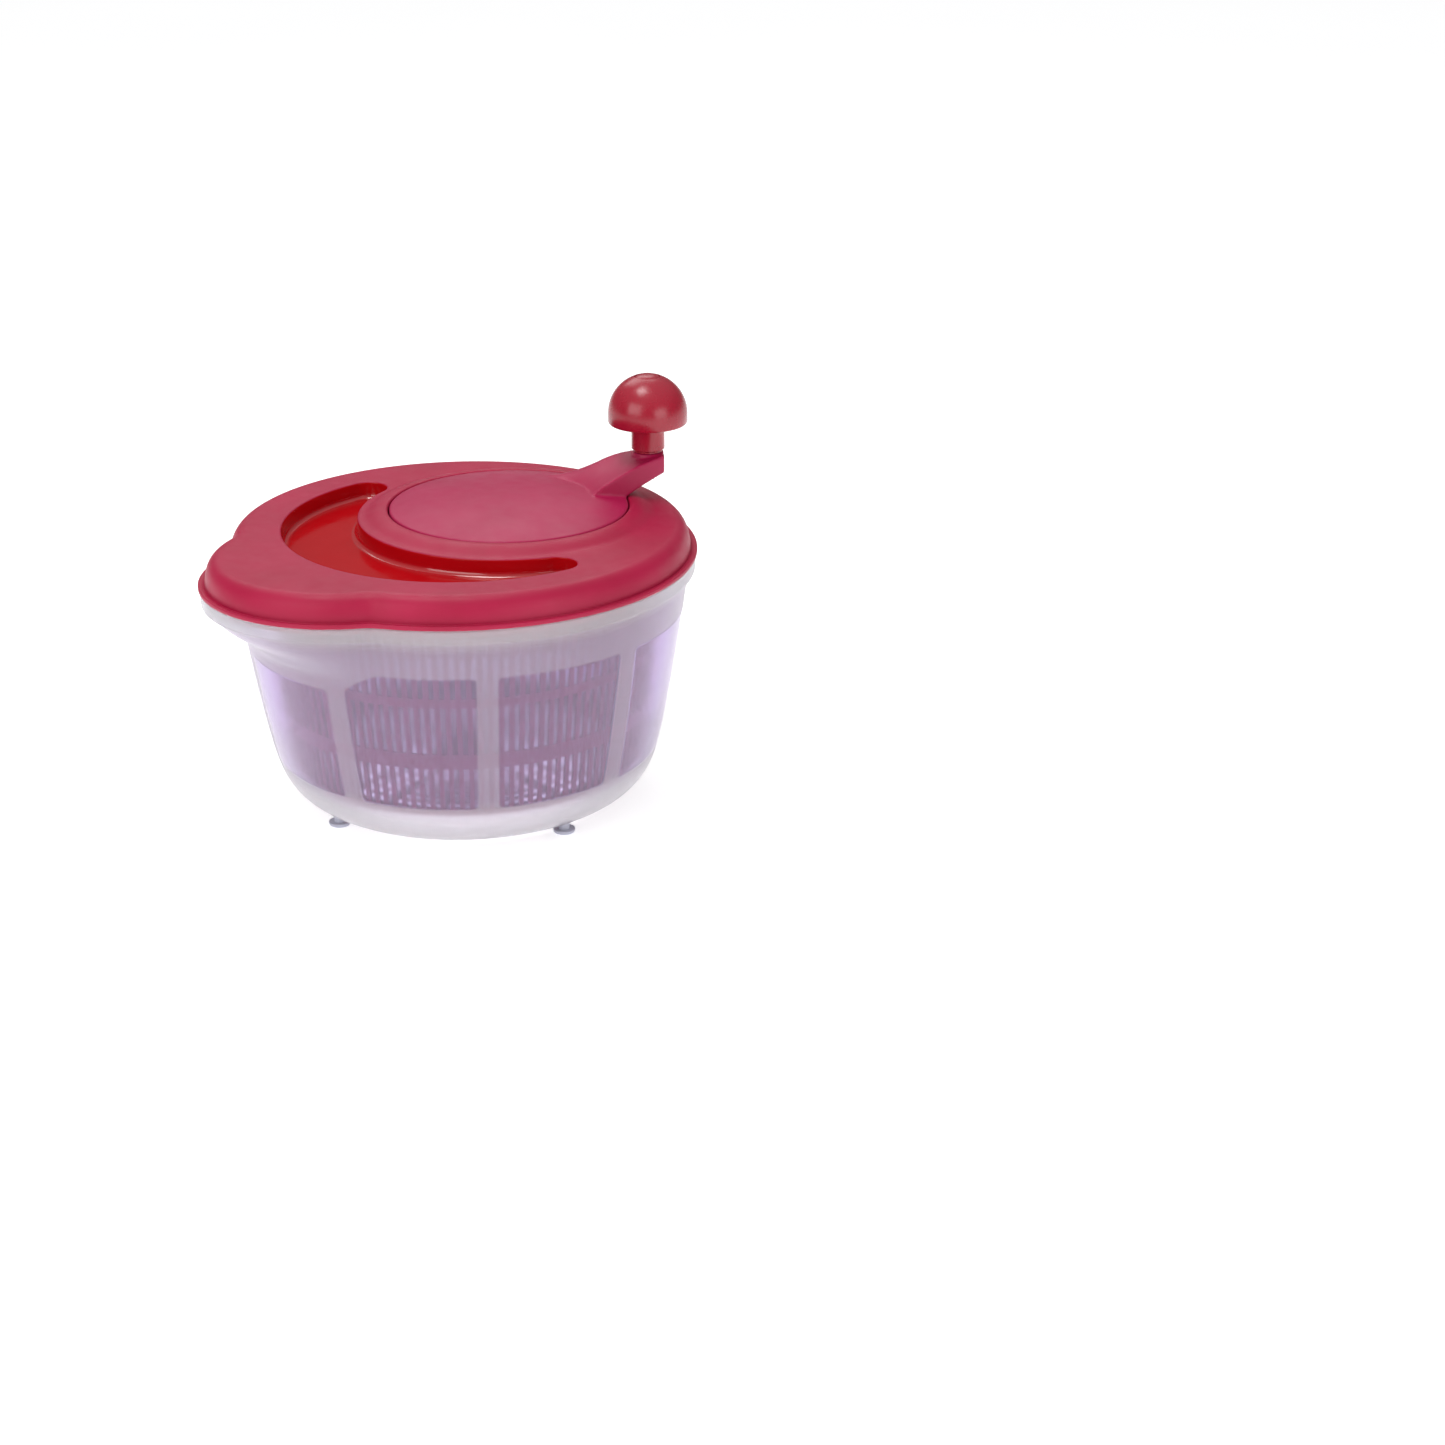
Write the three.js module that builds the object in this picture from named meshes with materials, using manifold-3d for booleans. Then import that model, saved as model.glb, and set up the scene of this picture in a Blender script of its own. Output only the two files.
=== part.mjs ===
// Crank-driven salad spinner: bowl with pouring spout, basket, lid with a geared crank, strainer plate.
// Millimetres, +Z up. The origin is on the spin axis, on the surface it stands on, with the spout along -Y.
import * as THREE from "three";
import { mergeVertices } from "three/addons/utils/BufferGeometryUtils.js";
import Module from "manifold-3d";

const wasm = await Module();
wasm.setup();

// ---- Driving dimensions ----------------------------------------------------------------------
const seat = 0.3; // gap left between pieces that touch or run on each other

// Rim and spout outline, shared by the bowl and the lid
const rimRadius = 130;
const lobeRadius = 0.5969 * rimRadius; // the spout is an arc of this radius
const lobeCentre = 0.5923 * rimRadius; // whose centre is this far in front of the spin axis
const lobeBlend = 3; // how softly the arc runs into the round rim

// Bowl
const bowlHeight = 139.2;
const bowlWall = 2.2;
const baseLift = 2; // the flat underside is this far above the table
const heelRadius = 0.82 * rimRadius; // where the rounded foot of the wall ends
const baseRadius = heelRadius - 31.6;
const heelHeight = 26;
const rimOverhang = 5; // rim band outside the wall
const rimBand = 8;
const rimWidth = 6.4;
const scoopHeight = 30; // height over which the spout grows out of the round wall

// Feet
const footCount = 4;
const footCircle = baseRadius + 13;
const footRadius = 6;
const footStem = 3;
const footStemTop = 6;
const footBossRadius = 7.4;

// Basket pivot
const pivotRadius = 2.5;
const pivotBossRadius = 7;
const pivotBossTop = 15;
const pivotDepth = 3.7; // socket floor above the bowl's underside
const pivotTop = 22.2;

// Basket
const basketDrop = 1.4; // its rim lies this far below the bowl's rim
const basketWall = 1.8;
const basketRimRadius = rimRadius - 14.5;
const basketTopRadius = basketRimRadius - 3; // wall below the flared rim
const basketHeelRadius = basketTopRadius - 11.5;
const basketFloor = 20;
const basketHeel = 15; // radius of the rounded corner
const flareHeight = 8;
const slotTiers = [
  [94, 113],
  [61, 88],
  [38, 53],
];
const slotsPerTier = 20;
const slotWidth = 5;
const floorArcs = 4;
const floorRings = [0.356, 0.554, 0.752].map((share) => share * basketHeelRadius);
const floorSlot = 5;
const driveRibs = 16;
const ribDepth = 2;
const ribWidth = 1.4;
const ribHeight = 20;
const cupRadius = 6;
const hubWall = 2.7;
const hubDomeRadius = 14;

// Lid
const lidWall = 2.2;
const flangeHeight = 2.5;
const flangeLip = 3.6; // flange showing outside the dome's foot
const lidRise = 16.1; // plateau above the lid's lower edge
const shoulderInset = 13; // rim to plateau
const skirtDepth = 5;
const skirtGap = 0.5;
const skirtWall = 2;

// Crescent tray in the lid
const trayCentre = 2;
const trayRadius = rimRadius - 30.5;
const trayInner = 0.646 * rimRadius; // about the crank's axis
const trayEnd = 11;
const trayDepth = 10;
const trayFillet = 3;

// Crank
const gearModule = rimRadius / 65;
const ringTeeth = 44;
const pinionTeeth = 11;
const discRadius = 0.5108 * rimRadius;
const discDome = 6.8;
const discWall = 2.2;
const discSkirt = 4;
const discGap = 0.6;
const collarRise = 4; // top of the crank's collar above the plateau
const collarLand = 3;
const driveGap = 2.7; // from the plate's socket up to the well's underside
const wellFloor = 2;
const stubRadius = 7;
const hubRadius = 12;
const bearingTop = 6; // bearing collar above the well's floor
const bushWall = 2.4;
const screwRadius = 2;
const screwLength = 9;
const screwHead = 5;
const washerRadius = 11.5;
const washerThickness = 1.1;
const armAngle = 74.9; // direction of the arm at rest, in degrees from +X
const knobReach = 0.653 * rimRadius;
const armTop = 20.4; // arm's tip above the collar
const armTip = 9.2; // thickness there
const armRoot = discRadius - 20.4;
const armFlare = [12, 43]; // to the arm's left, where its height starts and ends dying away

// Gears
const pressureAngle = (20 * Math.PI) / 180;
const backlash = 0.35;
const pinionWidth = 7.8;
const ringWall = 4.5;
const journalRadius = 5.5;
const squareSide = 7.4;
const pinionBushWall = 1.9;
const clipThickness = 0.9;
const clipRadius = 7.3;
const clipGroove = 1.2;

// Strainer plate
const plateRadius = basketRimRadius - 1.5;
const plateThickness = 2.6;
const plateGap = 0.4; // above the basket's rim
const plateDisc = 0.342 * plateRadius;
const plateRing = 0.6316 * plateRadius;
const plateRingWidth = 3;
const plateBorder = 14;
const innerSlots = 16;
const outerSlots = 32;
const plateBar = 3.4;
const socketHeight = 3;
const socketRadius = 8;
const finCount = 8;
const finBase = 24;
const finDrop = 20;
const finThickness = 1.8;

// Knob
const knobRadius = 21.7;
const knobStraight = 6.3;
const neckRadius = 8.8;
const neckLength = 15;
const knobPinRadius = 3;
const knobPinHead = 6.3;
const knobPinSink = 6.3;
const capRadius = 7.3;
const capThickness = 3.4;
const knobWasher = 0.8;

// ---- Levels and places worked out from them ---------------------------------------------------
const wallTopRadius = rimRadius - rimOverhang;
const rimBottom = bowlHeight - rimBand;
const basketTop = bowlHeight - basketDrop;
const plateBottom = basketTop + plateGap;
const plateTop = plateBottom + plateThickness;
const lidBottom = bowlHeight + seat;
const plateau = lidBottom + lidRise;
const collarTop = plateau + collarRise;
const wellUnder = plateTop + socketHeight + driveGap;
const wellTop = wellUnder + wellFloor;
const wellRadius = discRadius + discGap;
const crankOffset = (gearModule * (ringTeeth - pinionTeeth)) / 2;
const discEdge = collarTop - 0.2;
const pinionBottom = wellTop + seat + 0.6 + seat;
const armTipTop = collarTop + armTop;
const neckBottom = armTipTop + seat + knobWasher + seat;
const domeBottom = neckBottom + neckLength;
const domeCentre = domeBottom + knobStraight;
const knobTop = domeCentre + knobRadius;
const capSeat = domeCentre + Math.sqrt(knobRadius ** 2 - capRadius ** 2) - capThickness;

const around = 40; // facets round the large pieces
const small = 20; // facets round the small ones

// ---- Helpers ----------------------------------------------------------------------------------
const point = (r, z) => new THREE.Vector2(r, z);
const radians = (degrees) => (degrees * Math.PI) / 180;

// A closed geometry as a solid, for cutting and joining.
function solid(geometry) {
  const bare = geometry.clone();
  bare.deleteAttribute("normal");
  bare.deleteAttribute("uv");
  const merged = mergeVertices(bare, 1e-4);
  const corners = [];
  const index = merged.index.array;
  for (let i = 0; i < index.length; i += 3) {
    const [a, b, c] = [index[i], index[i + 1], index[i + 2]];
    if (a !== b && b !== c && c !== a) corners.push(a, b, c);
  }
  return new wasm.Manifold(
    new wasm.Mesh({
      numProp: 3,
      vertProperties: merged.attributes.position.array,
      triVerts: new Uint32Array(corners),
    }),
  );
}

// A solid back to a three.js geometry.
function geometryOf(made) {
  const mesh = made.getMesh();
  const geometry = new THREE.BufferGeometry();
  geometry.setAttribute("position", new THREE.BufferAttribute(new Float32Array(mesh.vertProperties), 3));
  geometry.setIndex(new THREE.BufferAttribute(new Uint32Array(mesh.triVerts), 1));
  geometry.computeVertexNormals();
  return geometry;
}

// A profile of [radius, height] points turned about the vertical axis, starting at -Y.
function turned(profile, facets = small) {
  const points = profile.map(([r, z]) => point(r, z));
  return new THREE.LatheGeometry(points, facets).rotateX(Math.PI / 2);
}

// A ring's profile closes on itself.
const ringed = (profile, facets = small) => turned([...profile, profile[0]], facets);

const disc = (radius, low, high, facets = small) =>
  turned([[0, low], [radius, low], [radius, high], [0, high]], facets);

const tube = (inner, outer, low, high, facets = small) =>
  ringed([[inner, low], [outer, low], [outer, high], [inner, high]], facets);

// A flat outline raised from one height to another.
function prism(shape, low, high, options = {}) {
  const made = new THREE.ExtrudeGeometry(shape, {
    depth: high - low,
    bevelEnabled: false,
    curveSegments: 12,
    ...options,
  });
  return made.translate(0, 0, low);
}

// A square outline about the axis.
function square(side) {
  const half = side / 2;
  return new THREE.Shape([point(-half, -half), point(half, -half), point(half, half), point(-half, half)]);
}

// Points of a curve between two profile points, both ends left in.
function curved(from, control, to, steps) {
  const curve = new THREE.QuadraticBezierCurve(point(...from), point(...control), point(...to));
  return curve.getPoints(steps).map((p) => [p.x, p.y]);
}

function curved4(from, first, second, to, steps) {
  const curve = new THREE.CubicBezierCurve(point(...from), point(...first), point(...second), point(...to));
  return curve.getPoints(steps).map((p) => [p.x, p.y]);
}

// The rim's outline at a place r inside or outside the round: the spout is an arc set in front of the axis.
function lobed(r, angle) {
  const radius = lobeRadius - (rimRadius - r);
  const side = lobeCentre * Math.sin(angle);
  if (Math.cos(angle) <= 0 || Math.abs(side) >= radius) return r;
  const reach = lobeCentre * Math.cos(angle) + Math.sqrt(radius ** 2 - side ** 2);
  const blend = Math.max(lobeBlend - Math.abs(reach - r), 0) / lobeBlend;
  return Math.max(reach, r) + (blend * blend * lobeBlend) / 4;
}

// Moves the vertices of a turned shape out to the spout, by the share that applies at their height.
function withSpout(geometry, share) {
  const place = geometry.attributes.position;
  for (let i = 0; i < place.count; i += 1) {
    const [x, y, z] = [place.getX(i), place.getY(i), place.getZ(i)];
    const r = Math.hypot(x, y);
    const amount = share(z);
    if (r < 1 || amount <= 0) continue;
    const wanted = r + (lobed(r, Math.atan2(x, -y)) - r) * amount;
    place.setXY(i, (x * wanted) / r, (y * wanted) / r);
  }
  return geometry;
}

function piece(name, geometry, { color, roughness, metalness = 0 }) {
  const material = new THREE.MeshStandardMaterial({ color, roughness, metalness });
  const mesh = new THREE.Mesh(geometry, material);
  mesh.name = name;
  return mesh;
}

const red = { color: 0xb23550, roughness: 0.45 };
const deepRed = { color: 0x9a1430, roughness: 0.4 };
const clear = { color: 0xd8d5e2, roughness: 0.35 };
const grey = { color: 0x8d8f98, roughness: 0.8 };
const white = { color: 0xe9e7e0, roughness: 0.5 };
const steel = { color: 0xc4c6c9, roughness: 0.3, metalness: 1 };

// ---- Bowl -------------------------------------------------------------------------------------
const underside = baseLift;
const wallLine = [
  ...curved4(
    [baseRadius, underside],
    [baseRadius + 17, underside],
    [heelRadius - 4.2, heelHeight - 14],
    [heelRadius, heelHeight],
    4,
  ),
  ...curved4(
    [heelRadius, heelHeight],
    [heelRadius + 5.9, heelHeight + 17],
    [wallTopRadius - 3, rimBottom - 27],
    [wallTopRadius, rimBottom],
    4,
  ).slice(1),
];

// The wall's own line moved inwards by a thickness.
function inset(line, thickness) {
  return line.map(([r, z], i) => {
    const [before, after] = [line[Math.max(i - 1, 0)], line[Math.min(i + 1, line.length - 1)]];
    const [dr, dz] = [after[0] - before[0], after[1] - before[1]];
    const length = Math.hypot(dr, dz);
    return [r - (dz / length) * thickness, z + (dr / length) * thickness];
  });
}

const spoutShare = (z) => THREE.MathUtils.smoothstep(z, rimBottom - scoopHeight, rimBottom);

function bowl() {
  const inner = inset(wallLine, bowlWall);
  const rimIn = rimRadius - 1 - rimWidth;
  inner[inner.length - 1] = [rimIn, rimBottom];
  const floorTop = underside + bowlWall;
  inner[0] = [baseRadius, floorTop];
  const socket = underside + pivotDepth;
  const bore = pivotRadius + seat;
  const profile = [
    [0, underside],
    ...wallLine,
    [rimRadius - 1, rimBottom],
    [rimRadius - 1, bowlHeight],
    [rimIn, bowlHeight],
    ...inner.slice().reverse(),
    [pivotBossRadius + 2, floorTop],
    [pivotBossRadius, floorTop + 2],
    [pivotBossRadius, pivotBossTop],
    [bore, pivotBossTop],
    [bore, socket],
    [0, socket],
  ];
  let made = solid(withSpout(turned(profile, around), spoutShare));
  const room = solid(turned([[0, floorTop], ...inner, [0, rimBottom]], around));
  const hole = footStem + seat;
  for (let i = 0; i < footCount; i += 1) {
    const [x, y] = footPlace(i);
    const boss = solid(disc(footBossRadius, footTop + seat, heelHeight / 2).translate(x, y, 0));
    const bore = solid(disc(hole, 0, footStemTop + seat).translate(x, y, 0));
    made = made.add(boss.subtract(room)).subtract(bore);
  }
  return piece("bowl", geometryOf(made), clear);
}

const footTop = baseLift + 0.3;
function footPlace(i) {
  const angle = (2 * Math.PI * i) / footCount;
  return [footCircle * Math.sin(angle), -footCircle * Math.cos(angle)];
}

function foot(i) {
  const profile = [
    [0, 0],
    [footRadius - 0.8, 0],
    [footRadius, 0.8],
    [footRadius, footTop],
    [footStem, footTop],
    [footStem, footStemTop],
    [0, footStemTop],
  ];
  const made = piece("foot_" + (i + 1), turned(profile, 16), grey);
  made.position.set(...footPlace(i), 0);
  return made;
}

function pivotPin() {
  const low = underside + pivotDepth + seat;
  const profile = [
    [0, low],
    [pivotRadius, low],
    [pivotRadius, pivotTop - 1.5],
    [pivotRadius * 0.7, pivotTop - 0.4],
    [0, pivotTop],
  ];
  return piece("pivot_pin", turned(profile, 16), steel);
}

// ---- Basket -----------------------------------------------------------------------------------
const cupTop = pivotTop + seat + 2.2;
const cupBottom = pivotBossTop + 1 + seat;
const basketHeelTop = basketFloor + basketHeel;
const flareBottom = basketTop - flareHeight;

function basketRadiusAt(z) {
  const share = (z - basketHeelTop) / (flareBottom - basketHeelTop);
  return basketHeelRadius + (basketTopRadius - basketHeelRadius) * share;
}

function basket() {
  const bore = cupRadius + seat;
  const floorIn = basketFloor + basketWall;
  const heel = (cut) =>
    curved(
      [basketHeelRadius - basketHeel, basketFloor + cut],
      [basketHeelRadius - cut, basketFloor + cut],
      [basketHeelRadius - cut, basketHeelTop],
      3,
    );
  const profile = [
    [0, cupTop + seat],
    [bore, cupTop + seat],
    [bore, cupBottom - seat],
    [bore + hubWall, cupBottom - seat],
    [bore + hubWall, basketFloor],
    ...heel(0),
    [basketTopRadius, flareBottom],
    [basketRimRadius, basketTop - 3],
    [basketRimRadius, basketTop],
    [basketRimRadius - basketWall, basketTop],
    [basketRimRadius - basketWall, basketTop - 2.6],
    [basketTopRadius - basketWall, flareBottom],
    ...heel(basketWall).reverse(),
    [hubDomeRadius, floorIn],
    [hubDomeRadius - 4, cupTop + seat + 3.2],
    [0, cupTop + seat + 3.2],
  ];
  let made = solid(turned(profile, around));
  const cuts = [];
  const ribs = [];
  for (const [low, high] of slotTiers) {
    const slot = new THREE.BoxGeometry(3 * basketHeel, slotWidth, high - low);
    for (let i = 0; i < slotsPerTier; i += 1) {
      const cut = slot.clone().translate(basketRadiusAt(low), 0, (low + high) / 2);
      cuts.push(solid(cut.rotateZ((2 * Math.PI * i) / slotsPerTier + Math.PI / around)));
    }
  }
  const pitch = (2 * Math.PI) / floorArcs;
  for (const radius of floorRings) {
    const gap = floorSlot / 2;
    for (let i = 0; i < floorArcs; i += 1) {
      const bar = 5 / radius;
      const arc = new THREE.Shape();
      arc.absarc(0, 0, radius + gap, i * pitch + bar, (i + 1) * pitch - bar, false);
      arc.absarc(0, 0, radius - gap, (i + 1) * pitch - bar, i * pitch + bar, true);
      cuts.push(solid(prism(arc, basketFloor - 1, floorIn + 1, { curveSegments: 3 })));
    }
  }
  const ribTop = basketTop - 3;
  for (let i = 0; i < driveRibs; i += 1) {
    const outer = basketRadiusAt(ribTop - ribHeight) - basketWall / 2;
    const inner = basketRadiusAt(ribTop - ribHeight) - basketWall - ribDepth;
    const lean = basketRadiusAt(flareBottom) - basketRadiusAt(ribTop - ribHeight);
    const side = new THREE.Shape([
      point(inner, ribTop - ribHeight),
      point(outer, ribTop - ribHeight),
      point(outer + lean, flareBottom),
      point(outer + lean, ribTop),
      point(inner, ribTop),
    ]);
    const rib = prism(side, -ribWidth / 2, ribWidth / 2).rotateX(Math.PI / 2);
    ribs.push(solid(rib.rotateZ((2 * Math.PI * (i + 0.5)) / driveRibs)));
  }
  made = made.subtract(wasm.Manifold.union(cuts)).add(wasm.Manifold.union(ribs));
  return piece("basket", geometryOf(made), deepRed);
}

function basketCup() {
  const bore = pivotRadius + seat;
  const profile = [
    [0, pivotTop + seat],
    [bore, pivotTop + seat],
    [bore, cupBottom],
    [cupRadius, cupBottom],
    [cupRadius, cupTop],
    [0, cupTop],
  ];
  return piece("basket_cup", turned(profile), white);
}

// ---- Lid --------------------------------------------------------------------------------------
// The tray is the region between a large arc and the crank's collar, with round ends.
function trayShape(grow) {
  const inner = trayInner - grow;
  const outer = trayRadius + grow;
  const end = trayEnd + grow;
  const reach = trayInner + trayEnd;
  const inside = trayRadius - trayEnd;
  const apart = crankOffset - trayCentre;
  const down = (reach ** 2 - inside ** 2 - apart ** 2) / (2 * apart);
  const y = trayCentre - down;
  const x = Math.sqrt(inside ** 2 - down ** 2);
  const fromTray = Math.atan2(y - trayCentre, x);
  const fromCrank = Math.atan2(y - crankOffset, x);
  const shape = new THREE.Shape();
  shape.absarc(0, trayCentre, outer, Math.PI - fromTray, fromTray + 2 * Math.PI, false);
  shape.absarc(x, y, end, fromTray, fromCrank + Math.PI, false);
  shape.absarc(0, crankOffset, inner, fromCrank, -Math.PI - fromCrank, true);
  shape.absarc(-x, y, end, -fromCrank, Math.PI - fromTray, false);
  return shape;
}

function lid() {
  const shoulder = rimRadius - shoulderInset;
  const domeFoot = rimRadius - flangeLip;
  const flangeTop = lidBottom + flangeHeight;
  const skirtOut = rimRadius - 1 - rimWidth - skirtGap;
  const always = () => 1;
  const outside = turned(
    [
      [0, lidBottom - skirtDepth],
      [skirtOut, lidBottom - skirtDepth],
      [skirtOut, lidBottom],
      [rimRadius, lidBottom],
      [rimRadius, flangeTop],
      ...curved([domeFoot, flangeTop + 0.4], [domeFoot - 1.5, plateau], [shoulder, plateau], 4),
      [0, plateau],
    ],
    around,
  );
  const hollow = turned(
    [
      [0, lidBottom - skirtDepth - 1],
      [skirtOut - skirtWall, lidBottom - skirtDepth - 1],
      [skirtOut - skirtWall, lidBottom],
      ...curved(
        [domeFoot - lidWall, lidBottom + 1],
        [domeFoot - 1.5 - lidWall, plateau - lidWall],
        [shoulder - lidWall / 2, plateau - lidWall],
        4,
      ),
      [0, plateau - lidWall],
    ],
    around,
  );
  const collarOut = trayInner + 1;
  const well = turned(
    [
      [0, wellUnder],
      [wellRadius + lidWall, wellUnder],
      [wellRadius + lidWall, plateau - lidWall],
      [collarOut, plateau - lidWall],
      [collarOut, plateau],
      [wellRadius + collarLand, collarTop],
      [0, collarTop],
    ],
    around,
  ).translate(0, crankOffset, 0);
  const bearing = disc(stubRadius + seat + bushWall + seat + 3, wellUnder, wellTop + bearingTop);
  const fillet = {
    bevelEnabled: true,
    bevelThickness: trayFillet,
    bevelSize: trayFillet,
    bevelOffset: -trayFillet,
    bevelSegments: 2,
    curveSegments: 12,
  };
  const trayFloor = plateau - trayDepth;
  const trayUnder = trayFloor - lidWall;
  const trayOut = prism(trayShape(lidWall), trayUnder, plateau - lidWall / 2, { curveSegments: 12 });
  const trayIn = prism(trayShape(0), trayFloor + trayFillet, plateau + 2 * trayFillet, fillet);
  const made = solid(withSpout(outside, always))
    .subtract(solid(withSpout(hollow, always)))
    .add(solid(well))
    .add(solid(trayOut))
    .subtract(solid(trayIn))
    .subtract(solid(disc(wellRadius, wellTop, collarTop + 1, around).translate(0, crankOffset, 0)))
    .add(solid(bearing.translate(0, crankOffset, 0)))
    .subtract(solid(disc(crankBushRadius + seat, 0, collarTop).translate(0, crankOffset, 0)))
    .subtract(solid(disc(pinionBushRadius + seat, 0, collarTop)));
  return piece("lid", geometryOf(made), red);
}

// ---- Crank ------------------------------------------------------------------------------------
const crankBushRadius = stubRadius + seat + bushWall;
const bushTop = wellTop + bearingTop + seat;
const bushFlange = 1;
const domeAt = (r) => discEdge + discDome * (1 - (r / discRadius) ** 2);

function crankBush() {
  const bore = stubRadius + seat;
  const profile = [
    [bore, wellUnder + seat],
    [crankBushRadius, wellUnder + seat],
    [crankBushRadius, bushTop],
    [crankBushRadius + 2.6, bushTop],
    [crankBushRadius + 2.6, bushTop + bushFlange],
    [bore, bushTop + bushFlange],
  ];
  return piece("crank_bush", ringed(profile), white);
}

// The arm is a ring cut to its plan, whose height then dies away to nothing along its flared side.
function arm() {
  const tip = knobReach + neckRadius;
  const tipTop = armTipTop;
  const under = tipTop - armTip;
  const inside = [];
  for (let i = 0; i <= 3; i += 1) {
    const r = armRoot + ((discRadius - armRoot) * i) / 3;
    inside.push([r, domeAt(r) - discWall / 2]);
  }
  const profile = [
    ...inside,
    ...curved([discRadius, collarTop + seat], [discRadius + 11, under - 4.8], [tip, under], 4),
    ...curved([tip, tipTop], [armRoot + 20, tipTop - 2], [armRoot, domeAt(armRoot) - 0.3], 7),
  ];
  const plan = new THREE.Shape();
  plan.moveTo(armRoot - 12, -13);
  plan.lineTo(armRoot, -15);
  plan.quadraticCurveTo(68, -18, tip - 4, -11.6);
  plan.quadraticCurveTo(tip + 1, -2, tip - 4, 8);
  plan.quadraticCurveTo(tip - 20, 12, tip - 33, 27);
  plan.quadraticCurveTo(tip - 42, 36, armRoot - 5, 42);
  plan.lineTo(armRoot - 16, 36);
  const cutter = solid(prism(plan, wellTop, knobTop, { curveSegments: 5 }));
  return solid(ringed(profile, around))
    .intersect(cutter)
    .warp((place) => {
      const r = Math.hypot(place[0], place[1]);
      const base = r < discRadius ? domeAt(r) - discWall / 2 : collarTop + seat;
      const left = THREE.MathUtils.smoothstep(place[1], ...armFlare);
      place[2] = base + (place[2] - base) * (1 - 0.98 * left);
    });
}

function crank() {
  const stubBottom = wellUnder;
  const hubBottom = bushTop + bushFlange + seat;
  const screwTop = stubBottom + screwLength + seat;
  const domeSteps = 4;
  const underDome = [];
  const overDome = [];
  for (let i = 0; i <= domeSteps; i += 1) {
    const r = hubRadius + ((discRadius - discWall - hubRadius) * i) / domeSteps;
    underDome.push([r, domeAt(r) - discWall]);
    overDome.push([discRadius * (1 - i / domeSteps), domeAt(discRadius * (1 - i / domeSteps))]);
  }
  const profile = [
    [0, screwTop],
    [screwRadius + seat, screwTop],
    [screwRadius + seat, stubBottom],
    [stubRadius, stubBottom],
    [stubRadius, hubBottom],
    [hubRadius, hubBottom],
    ...underDome,
    [discRadius - discWall, discEdge - discSkirt],
    [discRadius, discEdge - discSkirt],
    ...overDome,
  ];
  const boss = disc(neckRadius, armTipTop - armTip + 1, armTipTop).translate(knobReach, 0, 0);
  const bore = disc(knobPinRadius + seat, armTipTop - knobPinSink - seat, knobTop).translate(knobReach, 0, 0);
  const made = solid(turned(profile, around)).add(arm()).add(solid(boss)).subtract(solid(bore));
  return piece("crank", geometryOf(made), red);
}

function crankWasher() {
  const top = wellUnder - seat;
  return piece("crank_washer", tube(screwRadius + seat, washerRadius, top - washerThickness, top), steel);
}

function crankScrew() {
  const under = wellUnder - seat - washerThickness - seat;
  const profile = [
    [0, under - 1.8],
    [screwHead - 1, under - 1.8],
    [screwHead, under - 0.9],
    [screwHead, under],
    [screwRadius, under],
    [screwRadius, wellUnder + screwLength],
    [0, wellUnder + screwLength],
  ];
  return piece("crank_screw", turned(profile, 16), steel);
}

// ---- Gears ------------------------------------------------------------------------------------
// One outline serves both gears: a toothed wheel, or the toothed hole that it runs in.
function toothed(teeth, rootRadius, tipRadius, widen, firstTooth, steps) {
  const pitchRadius = (gearModule * teeth) / 2;
  const baseCircle = pitchRadius * Math.cos(pressureAngle);
  const involute = (angle) => Math.tan(angle) - angle;
  const halfAt = (r) => {
    const angle = Math.acos(Math.min(baseCircle / Math.max(r, baseCircle), 1));
    const half = (Math.PI * gearModule) / 4 + widen;
    return half / pitchRadius + involute(pressureAngle) - involute(angle);
  };
  const points = [];
  for (let i = 0; i < teeth; i += 1) {
    const middle = firstTooth + (2 * Math.PI * i) / teeth;
    for (let side = -1; side <= 1; side += 2) {
      for (let k = 0; k < steps; k += 1) {
        const share = side < 0 ? k / (steps - 1) : 1 - k / (steps - 1);
        const r = rootRadius + (tipRadius - rootRadius) * share;
        const angle = middle + side * halfAt(r);
        points.push(point(r * Math.cos(angle), r * Math.sin(angle)));
      }
    }
  }
  return points;
}

function ringGear() {
  const pitchRadius = (gearModule * ringTeeth) / 2;
  const tip = pitchRadius - gearModule / 2;
  const root = pitchRadius + 1.25 * gearModule;
  const outer = root + ringWall;
  const mesh = -Math.PI / 2 - radians(armAngle);
  const shape = new THREE.Shape();
  shape.absarc(0, 0, outer, 0, 2 * Math.PI, false);
  shape.holes.push(new THREE.Path(toothed(ringTeeth, tip, root, backlash / 2, mesh, 3)));
  const top = domeAt(outer) - discWall - seat;
  return piece("ring_gear", prism(shape, pinionBottom + 0.6, top, { curveSegments: 24 }), white);
}

function pinion() {
  const pitchRadius = (gearModule * pinionTeeth) / 2;
  const outline = toothed(
    pinionTeeth,
    pitchRadius - 1.25 * gearModule,
    pitchRadius + gearModule,
    -backlash / 2,
    -Math.PI / 2,
    5,
  );
  const shoulder = plateTop + socketHeight + seat;
  const grooveTop = wellUnder - 0.1;
  const groove = journalRadius - clipGroove;
  const spindle = [
    [0, shoulder],
    [journalRadius, shoulder],
    [journalRadius, grooveTop - clipThickness - 2 * seat],
    [groove, grooveTop - clipThickness - 2 * seat],
    [groove, grooveTop],
    [journalRadius, grooveTop],
    [journalRadius, pinionBottom + 1],
    [0, pinionBottom + 1],
  ];
  const made = solid(prism(new THREE.Shape(outline), pinionBottom, pinionBottom + pinionWidth))
    .add(solid(turned(spindle)))
    .add(solid(prism(square(squareSide), squareBottom, shoulder + 0.5)));
  return piece("pinion", geometryOf(made), white);
}

const pinionBushRadius = journalRadius + seat + pinionBushWall;
const squareBottom = plateBottom + 1.2 + seat;

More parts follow.
